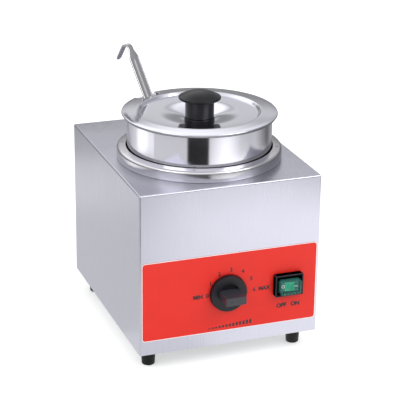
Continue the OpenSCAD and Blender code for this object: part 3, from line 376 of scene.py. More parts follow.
CASING_STEEL = LinedSteel("stainless_brushed_casing", "#C3C3CF", Grain.UPRIGHT, roughness=0.3)
WELL_STEEL = LinedSteel("stainless_satin_well", "#C4C2BE", Grain.ROUND_THE_WELL, roughness=0.25, tone=0.08)
COLLAR_STEEL = LinedSteel(
    "stainless_polished_collar", "#CBCACF", Grain.ROUND_THE_WELL,
    roughness=0.19, spread=0.04, line_mm=0.9, tone=0.05, bump=0.05, stretch=0.35,
)
POT_STEEL = LinedSteel(
    "stainless_mirror_pot", "#DAD9E2", Grain.ROUND_THE_WELL,
    roughness=0.115, spread=0.03, line_mm=1.2, tone=0.03, bump=0.02, stretch=0.35,
)
LID_STEEL = LinedSteel(
    "stainless_mirror_lid", "#D8D8E2", Grain.ROUND_THE_WELL,
    roughness=0.09, spread=0.03, line_mm=1.0, tone=0.03, bump=0.02,
)
LADLE_STEEL = LinedSteel(
    "stainless_polished_ladle", "#BEBDC0", Grain.UPRIGHT,
    roughness=0.16, spread=0.04, line_mm=1.6, tone=0.04, bump=0.015,
)
GALVANISED = LinedSteel(
    "galvanised_sheet", "#A9ABAE", Grain.FORE_AND_AFT, roughness=0.42, line_mm=1.4, length_mm=12, tone=0.1
)
ZINC = GrainedSolid("zinc_plated_steel", "#B3B4B8", roughness=0.32, metallic=1.0)
HEATER_SHEATH = GrainedSolid("annealed_heater_sheath", "#7C7770", roughness=0.45, metallic=1.0, tone=0.18)
PHENOLIC = GrainedSolid("moulded_phenolic", "#D8D2C4", roughness=0.5)
BRASS = GrainedSolid("turned_brass", "#C2A25A", roughness=0.28, metallic=1.0)
COPPER = GrainedSolid("drawn_copper", "#B4714A", roughness=0.3, metallic=1.0)
RUBBER = GrainedSolid("moulded_black_rubber", "#08080A", roughness=0.55, gloss=0.25, grain_mm=0.6, bump=0.2)
KNOB_ABS = GrainedSolid("moulded_charcoal_abs", "#15151B", roughness=0.38, bump=0.1, gloss=0.3)
GRIP_ABS = GrainedSolid("moulded_charcoal_abs_grip", "#2F2F37", roughness=0.42, bump=0.1)
PANEL_FILM = GrainedSolid(
    "printed_polyester_film", "#E0271B", roughness=0.42, grain_mm=0.4, bump=0.06, tone=0.02, gloss=0.32
)
# pale colour of the film's frame: a painted highlight along its cut edge
PAINTED_FILM_HIGHLIGHT = GrainedSolid("painted_film_edge_highlight", "#F3F1F0", roughness=0.4)
PRINT_INK = GrainedSolid("screen_printed_black_ink", "#241416", roughness=0.5, tone=0.12)
WHITE_INK = GrainedSolid("pad_printed_white_ink", "#F6F8F7", roughness=0.45)
BEZEL_NYLON = GrainedSolid("moulded_black_nylon", "#20242C", roughness=0.34, bump=0.08, gloss=0.45)
ROCKER_PC = GrainedSolid("tinted_green_polycarbonate", "#1A6256", roughness=0.3, bump=0.03, coat=0.2)
LENS_PC = GrainedSolid("bright_green_lens", "#12C08C", roughness=0.18, bump=0.03, coat=0.5)
BOOT_SILICONE = ClearSilicone("cast_tinted_silicone", "#3F857B")
TERMINAL_NYLON = GrainedSolid("natural_nylon", "#ECECE6", roughness=0.45)
GLAND_NYLON = GrainedSolid("black_gland_nylon", "#25262A", roughness=0.38)
PHENOLIC_KNOB = GrainedSolid("polished_black_phenolic", "#101016", roughness=0.3, bump=0.04, gloss=0.28)
WIRE_BROWN = GrainedSolid("silicone_wire_brown", "#7A4527", roughness=0.35)
WIRE_BLUE = GrainedSolid("silicone_wire_blue", "#3C62B0", roughness=0.35)
WIRE_RED = GrainedSolid("silicone_wire_red", "#C8403A", roughness=0.35)
WIRE_GREEN = GrainedSolid("silicone_wire_green", "#6FA03C", roughness=0.35)


# ------------------------------------------------------------------ surfaces


def rounded_path(
    points: Sequence[tuple[float, float]], radii: Sequence[float], steps: int = 6
) -> np.ndarray:
    """Rounds the corners of an open path.

    At each corner two tangent points lie r / tan(half the corner's angle) away from it, and the
    arc between them is drawn as a blend of the two directions about the circle's centre.

    Args:
        points: the corners.
        radii: a radius for each corner; 0 keeps it sharp.
        steps: points along each arc.

    Returns:
        The path as an array of points.
    """
    corner = np.asarray(points, float)
    made = [corner[:1]]
    for before, here, after, radius in zip(corner[:-2], corner[1:-1], corner[2:], radii[1:-1]):
        if radius <= 0:
            made.append(here[None])
            continue
        into = (before - here) / np.linalg.norm(before - here)
        out = (after - here) / np.linalg.norm(after - here)
        half = math.acos(np.clip(into @ out, -1, 1)) / 2
        middle = here + (into + out) / np.linalg.norm(into + out) * radius / math.sin(half)
        start = here + into * radius / math.tan(half) - middle
        end = here + out * radius / math.tan(half) - middle
        turn = math.acos(np.clip(start @ end / radius**2, -1, 1))
        share = np.linspace(0, 1, steps)[:, None]
        arc = (np.sin((1 - share) * turn) * start + np.sin(share * turn) * end) / math.sin(turn)
        made.append(middle + arc)
    made.append(corner[-1:])
    return np.concatenate(made)


def sheet_loop(path: np.ndarray, thick: float) -> np.ndarray:
    """Turns the middle line of a formed sheet into its closed outline.

    Each point moves half the thickness along the mean of its neighbours' normals, lengthened by
    one over the cosine of half the turn: out along the left side and back along the right.

    Args:
        path: points of the middle line.
        thick: thickness of the sheet.

    Returns:
        Twice as many points, in order round the outline.
    """
    along = np.diff(path, axis=0)
    normal = np.stack([-along[:, 1], along[:, 0]], 1)
    normal /= np.linalg.norm(normal, axis=1, keepdims=True)
    first = np.concatenate([normal[:1], normal])
    second = np.concatenate([normal, normal[-1:]])
    miter = (first + second) / (1 + np.sum(first * second, axis=1, keepdims=True))
    return np.concatenate([path + miter * thick / 2, (path - miter * thick / 2)[::-1]])


def spin(profile: np.ndarray, steps: int = 192) -> np.ndarray:
    """Turns a profile about the upright axis.

    Point (r, z) becomes (r cos a, r sin a, z) for every angle a.

    Args:
        profile: points (r, z).
        steps: angles round the circle.

    Returns:
        A grid of points, profile by angle.
    """
    angle = np.linspace(0, 2 * np.pi, steps, endpoint=False)
    r, z = profile[:, 0:1], profile[:, 1:2]
    return np.stack([r * np.cos(angle), r * np.sin(angle), np.broadcast_to(z, (len(profile), steps))], 2)


def rounded_ring(half_w: float, half_h: float, radius: float, steps: int = 8) -> np.ndarray:
    """Outline of a rounded rectangle.

    Four quarter circles of the corner's radius, each about its own corner's centre, joined up.

    Args:
        half_w: half the width.
        half_h: half the height.
        radius: the corner's radius.
        steps: points in each quarter.

    Returns:
        Points in order, anticlockwise.
    """
    angle = np.linspace(0, np.pi / 2, steps)
    turns = (np.arange(4)[:, None] * np.pi / 2 + angle).ravel()
    sign = np.repeat(np.array([[1, 1], [-1, 1], [-1, -1], [1, -1]]), steps, axis=0)
    middle = sign * np.array([half_w - radius, half_h - radius])
    return middle + radius * np.stack([np.cos(turns), np.sin(turns)], 1)


def ring_stack(sections: Sequence[tuple[float, float, float, float]], steps: int = 8) -> np.ndarray:
    """Rounded rectangles stacked out from an upright face.

    Section (half width, half height, corner radius, reach) becomes the ring (x, -reach, z).

    Args:
        sections: the rings in order.
        steps: points in each quarter of a ring.

    Returns:
        A grid of points, section by place round the ring.
    """
    rings = []
    for half_w, half_h, radius, reach in sections:
        ring = rounded_ring(half_w, half_h, radius, steps)
        rings.append(np.stack([ring[:, 0], np.full(len(ring), -reach), ring[:, 1]], 1))
    return np.stack(rings)


def quads(rows: int, columns: int, close_rows: bool) -> np.ndarray:
    """Faces of a grid that is closed along its columns.

    Face (i, j) joins points (i, j), (i, j+1), (i+1, j+1) and (i+1, j), with indices wrapped.

    Args:
        rows: rows of points.
        columns: points in a row.
        close_rows: whether the last row joins the first.

    Returns:
        Four point numbers for each face.
    """
    i, j = np.meshgrid(np.arange(rows if close_rows else rows - 1), np.arange(columns), indexing="ij")
    k, m = (i + 1) % rows, (j + 1) % columns
    return np.stack([i * columns + j, i * columns + m, k * columns + m, k * columns + j], 2).reshape(-1, 4)


def link_piece(name: str, mesh: bpy.types.Mesh, body: str) -> bpy.types.Object:
    """Puts a mesh into the scene as a piece that rides a body.

    Args:
        name: the piece's name.
        mesh: its mesh.
        body: the body that it rides on.

    Returns:
        The new object.
    """
    piece = bpy.data.objects.new(name, mesh)
    bpy.context.scene.collection.objects.link(piece)
    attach(piece, body)
    return piece


def make_piece(
    name: str, points: np.ndarray, faces: np.ndarray, finish: Finish, body: str,
    sharp_deg: float = 35.0,
) -> bpy.types.Object:
    """Puts worked-out points and faces into a closed, smooth-shaded piece that rides a body.

    Args:
        name: the piece's name.
        points: places in millimetres, in any grid shape.
        faces: point numbers of each face.
        finish: its finish.
        body: the body that it rides on.
        sharp_deg: edges that turn by more than this stay sharp.

    Returns:
        The new object.
    """
    mesh = bpy.data.meshes.new(name)
    mesh.from_pydata((points.reshape(-1, 3) * MM).tolist(), [], faces.tolist())
    work = bmesh.new()
    work.from_mesh(mesh)
    bmesh.ops.remove_doubles(work, verts=work.verts, dist=2e-6)
    bmesh.ops.dissolve_degenerate(work, edges=work.edges, dist=1e-7)
    bmesh.ops.recalc_face_normals(work, faces=work.faces)
    work.to_mesh(mesh)
    work.free()
    mesh.shade_smooth()
    mesh.set_sharp_from_angle(angle=math.radians(sharp_deg))
    mesh.materials.append(finish.material())
    log.info("%s: %d faces on %s", name, len(mesh.polygons), body)
    return link_piece(name, mesh, body)


def lathe(
    name: str, profile: np.ndarray, centre: tuple[float, float, float], finish: Finish, body: str,
    closed: bool = True, steps: int = 192, sharp_deg: float = 35.0,
) -> bpy.types.Object:
    """Makes a turned piece about an upright axis through centre.

    Args:
        name: the piece's name.
        profile: points (r, z) in millimetres.
        centre: where the profile's origin goes.
        finish: its finish.
        body: the body that it rides on.
        closed: whether the profile joins up; else it starts and ends on the axis.
        steps: angles round the circle.
        sharp_deg: edges that turn by more than this stay sharp.

    Returns:
        The new object.
    """
    grid = spin(profile, steps) + np.array(centre)
    return make_piece(name, grid, quads(len(profile), steps, closed), finish, body, sharp_deg)


def stacked(
    name: str, sections: Sequence[tuple[float, float, float, float]], centre: tuple[float, float, float],
    finish: Finish, body: str, closed: bool = False, steps: int = 8, tilt: Matrix | None = None,
    sharp_deg: float = 35.0,
) -> bpy.types.Object:
    """Makes a piece from rounded rectangles stacked out from an upright face.

    Args:
        name: the piece's name.
        sections: (half width, half height, corner radius, reach) in millimetres.
        centre: where the stack's origin goes.
        finish: its finish.
        body: the body that it rides on.
        closed: whether the last ring joins the first; else both ends are shrunk to a point.
        steps: points in each quarter of a ring.
        tilt: a turn about the origin before it is placed.
        sharp_deg: edges that turn by more than this stay sharp.

    Returns:
        The new object.
    """
    rings = list(sections)
    if not closed:
        tip = 1e-4
        rings = [(tip, tip, tip, rings[0][3]), *rings, (tip, tip, tip, rings[-1][3])]
    grid = ring_stack(rings, steps)
    if not closed:
        grid[0], grid[-1] = grid[0].mean(0), grid[-1].mean(0)
    if tilt is not None:
        grid = grid @ np.array(tilt.to_3x3()).T
    grid = grid + np.array(centre)
    return make_piece(name, grid, quads(len(grid), grid.shape[1], closed), finish, body, sharp_deg)


def edge_rings(
    half_w: float, half_h: float, radius: float, low: float, high: float, round_r: float, steps: int = 5
) -> list[tuple[float, float, float, float]]:
    """Rings of a block whose far edge is rounded.

    Along the quarter turn t the ring shrinks by round_r (1 - cos t) and reaches
    high - round_r + round_r sin t.

    Args:
        half_w: half the width.
        half_h: half the height.
        radius: corner radius seen from the front.
        low: reach of the back.
        high: reach of the front.
        round_r: radius of the front edge.
        steps: rings along the rounded edge.

    Returns:
        Sections for a ring stack.
    """
    turn = np.linspace(0, np.pi / 2, steps)
    inset = round_r * (1 - np.cos(turn))
    reach = high - round_r + round_r * np.sin(turn)
    back = [(half_w, half_h, radius, low)]
    return back + [
        (half_w - i, half_h - i, max(radius - i, 0.05), r) for i, r in zip(inset.tolist(), reach.tolist())
    ]


def printed(
    name: str, words: str, size: float, place: tuple[float, float, float], finish: Finish, body: str,
    bold: float = 0.12, tilt: Matrix | None = None, turn: float = 0.0,
) -> bpy.types.Object:
    """Makes flat print that stands 0.03 mm out of an upright face.

    Args:
        name: the piece's name.
        words: what it says.
        size: height of a capital letter in millimetres.
        place: middle of the print in millimetres.
        finish: its ink.
        body: the body that it rides on.
        bold: how far each stroke is thickened, in millimetres.
        tilt: a turn about the place, or none.
        turn: turn of the print in its own plane, in degrees.

    Returns:
        The new object, a mesh.
    """
    curve = bpy.data.curves.new(name, "FONT")
    curve.body = words
    curve.size = size / 0.7
    curve.align_x = "CENTER"
    curve.align_y = "CENTER"
    curve.offset = bold
    curve.extrude = 0.03
    curve.resolution_u = 4
    holder = bpy.data.objects.new(name + "_curve", curve)
    bpy.context.scene.collection.objects.link(holder)
    bpy.context.view_layer.update()
    graph = bpy.context.evaluated_depsgraph_get()
    mesh = bpy.data.meshes.new_from_object(holder.evaluated_get(graph))
    bpy.data.objects.remove(holder)
    bpy.data.curves.remove(curve)
    mesh.name = name
    upright = Matrix.Rotation(math.pi / 2, 4, "X") @ Matrix.Rotation(math.radians(turn), 4, "Z")
    where = Matrix.Translation(Vector(place)) @ (tilt or Matrix.Identity(4)) @ upright
    mesh.transform(Matrix.Diagonal((MM, MM, MM, 1)) @ where)
    mesh.materials.clear()
    mesh.materials.append(finish.material())
    return link_piece(name, mesh, body)


# ------------------------------------------------------------------ sub-assemblies


@dataclass
class SteelBody:
    """The casing, its base, and every solid that keeps its own shape and gets a finish."""

    finishes: dict[str, Finish] = field(
        default_factory=lambda: {
            "casing_shell": CASING_STEEL, "base_plate": GALVANISED, "base_screws": ZINC, "base_nuts": ZINC,
            "foot_front_left": RUBBER, "foot_front_right": RUBBER, "foot_back_left": RUBBER,
            "foot_back_right": RUBBER, "foot_screws": ZINC, "foot_nuts": ZINC,
            "well_collar": COLLAR_STEEL, "collar_rivets": COLLAR_STEEL, "well_tank": WELL_STEEL,
            "heating_element": HEATER_SHEATH, "heater_clamp_plate": GALVANISED, "heat_shield": GALVANISED,
            "stud_nuts": ZINC, "thermal_cutout": PHENOLIC, "cutout_nuts": ZINC,
            "thermostat_body": PHENOLIC, "thermostat_shaft": BRASS, "thermostat_screws": ZINC,
            "capillary_bulb": COPPER, "bulb_clips": GALVANISED, "control_knob": KNOB_ABS,
            "panel_overlay": PANEL_FILM, "switch_housing": BEZEL_NYLON, "switch_rocker": ROCKER_PC,
            "switch_boot": BOOT_SILICONE, "terminal_block": TERMINAL_NYLON, "terminal_screws": BRASS,
            "terminal_block_screws": ZINC, "earth_screw": BRASS, "earth_nuts": BRASS,
            "cable_gland": GLAND_NYLON, "gland_nut": GLAND_NYLON,
            "wire_live_in": WIRE_BROWN, "wire_neutral_in": WIRE_BLUE, "wire_live_switched": WIRE_BROWN,
            "wire_cutout_feed": WIRE_BROWN, "wire_heater_live": WIRE_RED, "wire_heater_neutral": WIRE_BLUE,
            "wire_earth": WIRE_GREEN, "pot": POT_STEEL, "lid": LID_STEEL, "lid_knob": PHENOLIC_KNOB,
            "lid_knob_screw": ZINC, "ladle_handle": LADLE_STEEL, "ladle_bowl": LADLE_STEEL,
        }
    )

    def dress(self) -> None:
        """Gives every solid its finish."""
        for name, finish in self.finishes.items():
            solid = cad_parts[name]
            solid.data.materials.clear()
            solid.data.materials.append(finish.material())
        log.info("dressed %d solids", len(self.finishes))


@dataclass
class Collar:
    """The raised ring round the well, spun from sheet with a rolled upper edge."""

    outer_r: float = 94.1
    foot_r: float = 88.1
    inner_r: float = 84.0
    crest_r: float = 2.8
    fall: float = 0.8
    rivet_r: float = 88.35
    rivet_turn: float = 156.6

    def build(self) -> None:
        """Makes the ring and the domed heads of its four rivets."""
        half = SHEET / 2
        out, low, high = self.outer_r - half, TOP_Z + half, COLLAR_TOP - half
        path = rounded_path(
            [(self.foot_r, low), (out, low), (out, high - self.fall), (self.inner_r, high)],
            [0, 0.45, self.crest_r, 0], 10,
        )
        ring = lathe(
            "collar_ring", sheet_loop(path, SHEET), (0, WELL_Y, 0), COLLAR_STEEL, "casing"
        )
        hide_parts("well_collar")
        dome = rounded_path(
            [(0, 0.35), (0.9, 0.35), (1.3, 0.05), (1.3, -0.4), (0, -0.4)], [0, 0.6, 0.2, 0, 0], 5
        )
        drop = self.fall * (self.rivet_r - self.inner_r) / (out - self.inner_r)
        turns = np.radians(self.rivet_turn + 90 * np.arange(4))
        for number, turn in enumerate(turns, 1):
            x, y = self.rivet_r * math.cos(turn), WELL_Y + self.rivet_r * math.sin(turn)
            spot = (x, y, COLLAR_TOP - drop)
            lathe(
                f"rivet_head_{number}", dome, spot, COLLAR_STEEL, "casing",
                closed=False, steps=24,
            )


@dataclass
class Pot:
    """The lift-out pot, deep drawn, with a flared and turned-down rim."""

    wall_r: float = 82.5
    bottom_z: float = 113.9
    corner_r: float = 8.0
    flare_r: float = 2.2
    rim_r: float = 87.0

    def build(self) -> None:
        """Makes the pot from the middle line of its wall."""
        half = SHEET / 2
        wall, floor, rim = self.wall_r - half, self.bottom_z + half, POT_RIM_TOP - half
        edge = self.rim_r - half
        path = rounded_path(
            [(0, floor), (wall, floor), (wall, rim), (edge, rim), (edge, rim - 2.2)],
            [0, self.corner_r, self.flare_r, 1.0, 0], 12,
        )
        pot = lathe(
            "drawn_pot", sheet_loop(path, SHEET), (0, WELL_Y, 0), POT_STEEL, "pot",
            closed=False, steps=256,
        )
        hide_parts("pot")


@dataclass
class Lid:
    """The pressed lid: a flat rim with a turned-down lip, a step and a shallow dish."""

    lip_r: float = 88.4
    lip_drop: float = 1.6
    flange_z: float = 265.0
    ridge_r: float = 69.3
    ridge_rise: float = 1.2
    step: float = 3.2
    dish_r: float = 48.7
    dish_depth: float = 4.5
    pad_r: float = 17.4
    hole_r: float = 2.6
    notch_turn: float = 28.0
    notch_half: float = 10.8
    notch_r: float = 74.0
    steps: int = 320

    def middle_line(self) -> np.ndarray:
        """Works out the sheet's middle line from its lip to its hole.

        The dish falls with s squared, where s goes from 0 at its edge to 1 at the flat pad.

        Returns:
            Points (r, z) in millimetres.
        """
        half = SHEET / 2
        edge, rim = self.lip_r - half, self.flange_z - half
        ridge = rim + self.ridge_rise
        flat = ridge - self.step
        outer = rounded_path(
            [
                (edge, rim - self.lip_drop + half), (edge, rim), (self.ridge_r, ridge),
                (self.ridge_r - 2.6, flat), (self.dish_r, flat),
            ],
            [0, 0.8, 1.3, 1.4, 0], 9,
        )
        # extra points across the flat rim let the notch's rounded corners take their shape
        where = np.searchsorted(-outer[:, 0], -(self.notch_r + 4))
        inner_r = self.notch_r - 0.05
        reach = np.linspace(self.notch_r + 7, inner_r, 26)
        slope = self.ridge_rise / (self.lip_r - self.ridge_r)
        extra = np.stack([reach, rim + (self.lip_r - reach) * slope], 1)
        keep = (outer[:, 0] > reach[0] + 0.5) | (outer[:, 0] < inner_r - 0.3)
        first = outer[keep & (np.arange(len(outer)) < where)]
        last = outer[keep & (np.arange(len(outer)) >= where)]
        share = np.linspace(0, 1, 20)[1:, None]
        dish = np.concatenate(
            [
                self.dish_r + (self.pad_r - self.dish_r) * share,
                flat - self.dish_depth * share**2,
            ],
            1,
        )
        return np.concatenate([first, extra, last, dish, [[self.hole_r, flat - self.dish_depth]]])

    def build(self) -> None:
        """Makes the lid with its notch.

        Each ring runs from the notch's one side round to the other.  The notch's half angle is
        half (1 - q ^ 6) ^ (1 / 6), where q falls from 1 at the notch's end to 0 at 5 mm outside
        it, so its inner corners are rounded; inside the notch's end the rings are whole.
        """
        line = self.middle_line()
        loop = sheet_loop(line, SHEET)
        reach = np.concatenate([line[:, 0], line[::-1, 0]])
        q = np.clip((self.notch_r + 5 - reach) / 5, 0, 1)
        half = np.radians(self.notch_half) * (1 - q**6) ** (1 / 6)
        share = np.linspace(0, 1, self.steps)
        middle = np.radians(90 + self.notch_turn)
        angle = middle + half[:, None] + share * (2 * np.pi - 2 * half[:, None])
        r, z = loop[:, 0:1], loop[:, 1:2]
        grid = np.stack([r * np.cos(angle), r * np.sin(angle), np.broadcast_to(z, angle.shape)], 2)
        grid = grid + np.array([0, WELL_Y, 0])
        rows, columns = angle.shape
        wrapped = quads(rows, columns, True)
        skin = wrapped.reshape(rows, columns, 4)[:, :-1].reshape(-1, 4)
        # walls of the notch join the upper skin's edge to the lower skin's
        top = np.flatnonzero(line[:, 0] > self.notch_r - 0.2)[:-1]
        low = rows - 1 - top
        walls = [
            np.stack([top, top + 1, low - 1, low], 1) * columns + c
            for c in (0, columns - 1)
        ]
        faces = np.concatenate([skin, *walls])
        lid = make_piece("pressed_lid", grid, faces, LID_STEEL, "lid", 40)
        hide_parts("lid")


@dataclass
class LidKnob:
    """The black mushroom knob: a plain stem under a wide cap with a low dome."""

    base_z: float = 258.5
    stem_r: float = 16.4
    cap_r: float = 24.1
    stem_h: float = 20.5
    brim: float = 2.6
    dome: float = 5.6
    hole_r: float = 2.55
    hole_h: float = 14.0

    def build(self) -> None:
        """Makes the knob by turning its rounded outline."""
        shoulder = self.stem_h + self.brim
        crown = shoulder + 1.6
        outline = rounded_path(
            [
                (0, self.hole_h), (self.hole_r, self.hole_h), (self.hole_r, 0), (self.stem_r, 0),
                (self.stem_r, self.stem_h), (self.cap_r, self.stem_h), (self.cap_r, shoulder),
                (self.cap_r - 3.6, crown),
            ],
            [0, 0, 0.2, 0.5, 1.6, 1.2, 1.1, 0], 8,
        )
        share = np.linspace(0, 1, 16)[1:]
        dome = np.stack([(self.cap_r - 3.6) * (1 - share), crown + self.dome * (1 - (1 - share) ** 2)], 1)
        knob = lathe(
            "lid_grip", np.concatenate([outline, dome]), (0, WELL_Y, self.base_z), PHENOLIC_KNOB,
            "lid", closed=False, sharp_deg=60,
        )
        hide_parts("lid_knob")


@dataclass
class Ladle:
    """The pressed ladle: a grooved strap with a hook, on a round bowl."""

    lean: float = 28.4
    turn: float = 28.0
    cross_r: float = 81.2
    cross_z: float = 265.0
    width: float = 15.0
    thick: float = 1.6
    hook_w: float = 8.0
    reach: float = 58.5
    taper: float = 13.0
    foot: float = -165.4
    hook_r: float = 6.0
    hook_bend: float = 123.0
    tip: float = 20.0
    groove_depth: float = 0.24
    groove_half: float = 3.4
    groove_x: float = -2.7
    groove_start: float = 14.0
    groove_fade: float = 5.0
    round_from: float = 0.6
    round_by: float = 0.95
    bowl_r: float = 30.0
    bowl_z: float = -151.4

    def place(self) -> np.ndarray:
        """Returns the ladle's place: +Z up the handle, +Y out from the pot."""
        where = (
            Matrix.Translation((0, WELL_Y, 0))
            @ Matrix.Rotation(math.radians(self.turn), 4, "Z")
            @ Matrix.Translation((0, self.cross_r, self.cross_z))
            @ Matrix.Rotation(math.radians(-self.lean), 4, "X")
        )
        return np.array(where)

    def set_down(self, points: np.ndarray) -> np.ndarray:
        """Moves points from the ladle's own frame to the kettle's.

        Args:
            points: places in the ladle's frame, in any grid shape.

        Returns:
            The same places in the kettle's frame.
        """
        where = self.place()
        return points @ where[:3, :3].T + where[:3, 3]

    def build(self) -> None:
        """Makes the strap and the bowl."""
        self.build_strap()
        self.build_bowl()

    def build_strap(self) -> None:
        """Carries the strap's cross-section along a straight, a bend and a straight tip.

        Along the straight the place is (0, s).  In the bend it is r (1 - cos a), reach + r sin a,
        with the face turned by a.  The half width follows a smooth step to the hook and a half
        circle at the tip.  The groove's depth is a raised cosine across the strap and a smooth
        step along it; beside it the face rounds off with the square of the distance.
        """
        bend = math.radians(self.hook_bend)
        bend_l = self.hook_r * bend
        end = self.reach + bend_l + self.tip
        s = np.concatenate(
            [
                np.linspace(self.foot, self.reach - self.taper - 8, 60),
                np.linspace(self.reach - self.taper - 7.5, self.reach, 36),
                np.linspace(self.reach + 0.4, self.reach + bend_l, 34),
                np.linspace(self.reach + bend_l + 0.5, end - self.hook_w / 2, 10),
                end - self.hook_w / 2 * (1 - np.sin(np.linspace(0.1, np.pi / 2, 12))),
            ]
        )
        turn = np.clip((s - self.reach) / self.hook_r, 0, bend)
        run = np.clip(s - self.reach - bend_l, 0, None)
        y = self.hook_r * (1 - np.cos(turn)) + run * math.sin(bend)
        z = np.minimum(s, self.reach) + self.hook_r * np.sin(turn) + run * math.cos(bend)
        step = np.clip((s - self.reach + self.taper) / self.taper, 0, 1)
        half = self.width / 2 + (self.hook_w - self.width) / 2 * step**2 * (3 - 2 * step)
        past = np.clip((s - end + self.hook_w / 2) / (self.hook_w / 2), 0, 1)
        half = half * np.sqrt(np.clip(1 - past**2, 1e-4, 1))
        fade = np.clip((s - self.foot - self.groove_start) / self.groove_fade, 0, 1)
        fade = fade * np.clip((self.reach - self.taper + 2 - s) / self.groove_fade, 0, 1)
        depth = self.groove_depth * fade**2 * (3 - 2 * fade)
        across = np.linspace(-1, 1, 41)
        arc = np.linspace(-np.pi / 2, np.pi / 2, 7)[1:-1]
        side = np.concatenate([across, 1 + 0 * arc, across[::-1], -1 + 0 * arc])
        bulge = np.concatenate([0 * across, np.cos(arc), 0 * across, -np.cos(arc)])
        lift = np.concatenate([-1 + 0 * across, np.sin(arc), 1 + 0 * across, -np.sin(arc)])
        inner = np.concatenate([1 + 0 * across, 0 * arc, 0 * across, 0 * arc])
        flat = np.clip(half - self.thick / 2, 0.02, None)[:, None]
        x = side * flat + bulge * np.minimum(self.thick / 2, half[:, None])
        away = x - self.groove_x
        dip = (1 + np.cos(np.pi * np.clip(away / self.groove_half, -1, 1))) / 2
        past_edge = np.clip((x - self.round_from) / (self.width / 2 - self.round_from), 0, 1)
        fall = past_edge**2 * self.round_by
        offset = lift * self.thick / 2 + inner * (dip * depth[:, None] + fall)
        grid = np.stack(
            [
                x,
                y[:, None] + offset * np.cos(turn)[:, None],
                z[:, None] - offset * np.sin(turn)[:, None],
            ],
            2,
        )
        grid = np.concatenate([grid[:1].mean(1, keepdims=True).repeat(grid.shape[1], 1), grid])
        grid = np.concatenate([grid, grid[-1:].mean(1, keepdims=True).repeat(grid.shape[1], 1)])
        strap = make_piece(
            "ladle_strap", self.set_down(grid), quads(len(grid), grid.shape[1], False), LADLE_STEEL,
            "ladle", 50,
        )
        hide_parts("ladle_handle")

    def build_bowl(self) -> None:
        """Spins the bowl's wall, a part of a sphere that is 1 mm larger than its mouth."""
        ball = self.bowl_r + 1
        low, high = math.radians(-89.9), -math.acos(self.bowl_r / ball)
        angle = np.linspace(low, high, 40)
        path = np.concatenate([[[0, -ball]], ball * np.stack([np.cos(angle), np.sin(angle)], 1)])
        path[:2, 1] = -ball
        grid = spin(sheet_loop(path, SHEET), 128)
        grid[0, :, :2] = 0
        grid[-1, :, :2] = 0
        grid = grid + np.array([0, -(self.bowl_r + SHEET / 2 + self.thick / 2), self.bowl_z])
        bowl = make_piece(
            "ladle_cup", self.set_down(grid), quads(len(grid), 128, False), LADLE_STEEL,
            "ladle", 50,
        )
        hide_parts("ladle_bowl")


@dataclass
class FrontPanel:
    """The coloured film on the front, with its dial figures and marks."""

    width: float = 207.0
    height: float = 93.6
    bottom: float = 39.4
    corner: float = 4.0
    border: float = 0.7
    dial_x: float = 0.4
    dial_z: float = 84.8
    dial_r: float = 27.9
    figure_h: float = 4.6
    figure_bold: float = 0.22
    marks: tuple[tuple[str, str, float, float, float, float], ...] = (
        ("mark_least", "MIN", 4.4, -38.6, 84.6, 0.38),
        ("mark_most", "MAX", 4.4, 40.2, 84.9, 0.38),
        ("mark_off_on", "OFF   ON", 4.7, 70.0, 60.2, 0.45),
    )
    bars: int = 13
    bar_pitch: float = 4.1
    bar_w: float = 2.6
    bar_low: float = 1.2
    bar_growth: float = 4.2
    bar_foot_z: float = 43.6

    def build(self) -> None:
        """Makes the film's pale frame, a painted highlight along its cut edge, and all that is printed on
        it.
        """
        self.build_edge()
        self.build_dial()
        self.build_words()

    def build_edge(self) -> None:
        """Lays a hair-thin pale frame round the film: a painted highlight along the film's cut edge."""
        middle = (0, FRONT_Y, self.bottom + self.height / 2)
        half_w, half_h = self.width / 2 + 0.02, self.height / 2 + 0.02
        inner_w, inner_h, inner_r = half_w - self.border, half_h - self.border, self.corner - self.border
        low, high = PANEL_T - 0.06, PANEL_T + 0.025
        # the pale frame paints the highlight along the film's cut edge
        stacked(
            "film_edge",
            [
                (half_w, half_h, self.corner, low), (half_w, half_h, self.corner, high),
                (inner_w, inner_h, inner_r, high), (inner_w, inner_h, inner_r, low),
            ],
            middle, PAINTED_FILM_HIGHLIGHT, "casing", closed=True,
        )

    def build_dial(self) -> None:
        """Prints the figures 0 to 6 round the knob, a half turn from left to right."""
        for figure in range(7):
            turn = math.radians(180 - 30 * figure)
            place = (
                self.dial_x + self.dial_r * math.cos(turn),
                FRONT_Y - PANEL_T,
                self.dial_z + self.dial_r * math.sin(turn),
            )
            printed(
                f"dial_figure_{figure}", str(figure), self.figure_h, place, PRINT_INK,
                "casing", self.figure_bold,
            )

    def build_words(self) -> None:
        """Prints plain marks: the least and most heat, a rising scale, and OFF and ON."""
        face = FRONT_Y - PANEL_T
        for name, words, size, x, z, bold in self.marks:
            printed(name, words, size, (x, face, z), PRINT_INK, "casing", bold)
        self.build_scale(face)

    def build_scale(self, face: float) -> None:
        """Prints a row of bars that grow from left to right, for rising heat.

        Args:
            face: the film's front face.
        """
        corners = np.array([[-1, -1], [1, -1], [1, 1], [-1, 1]])
        for number in range(self.bars):
            tall = self.bar_low + self.bar_growth * number / (self.bars - 1)
            x = (number - (self.bars - 1) / 2) * self.bar_pitch
            middle = np.array([x, self.bar_foot_z + tall / 2])
            outline = corners * np.array([self.bar_w / 2, tall / 2]) + middle
            grid = np.stack(
                [
                    np.stack([outline[:, 0], np.full(4, depth), outline[:, 1]], 1)
                    for depth in (face + 0.02, face - 0.03)
                ]
            )
            sides = quads(2, 4, False)
            faces = np.concatenate([sides, [[0, 1, 2, 3], [7, 6, 5, 4]]])
            make_piece(f"heat_bar_{number:02d}", grid, faces, PRINT_INK, "casing")


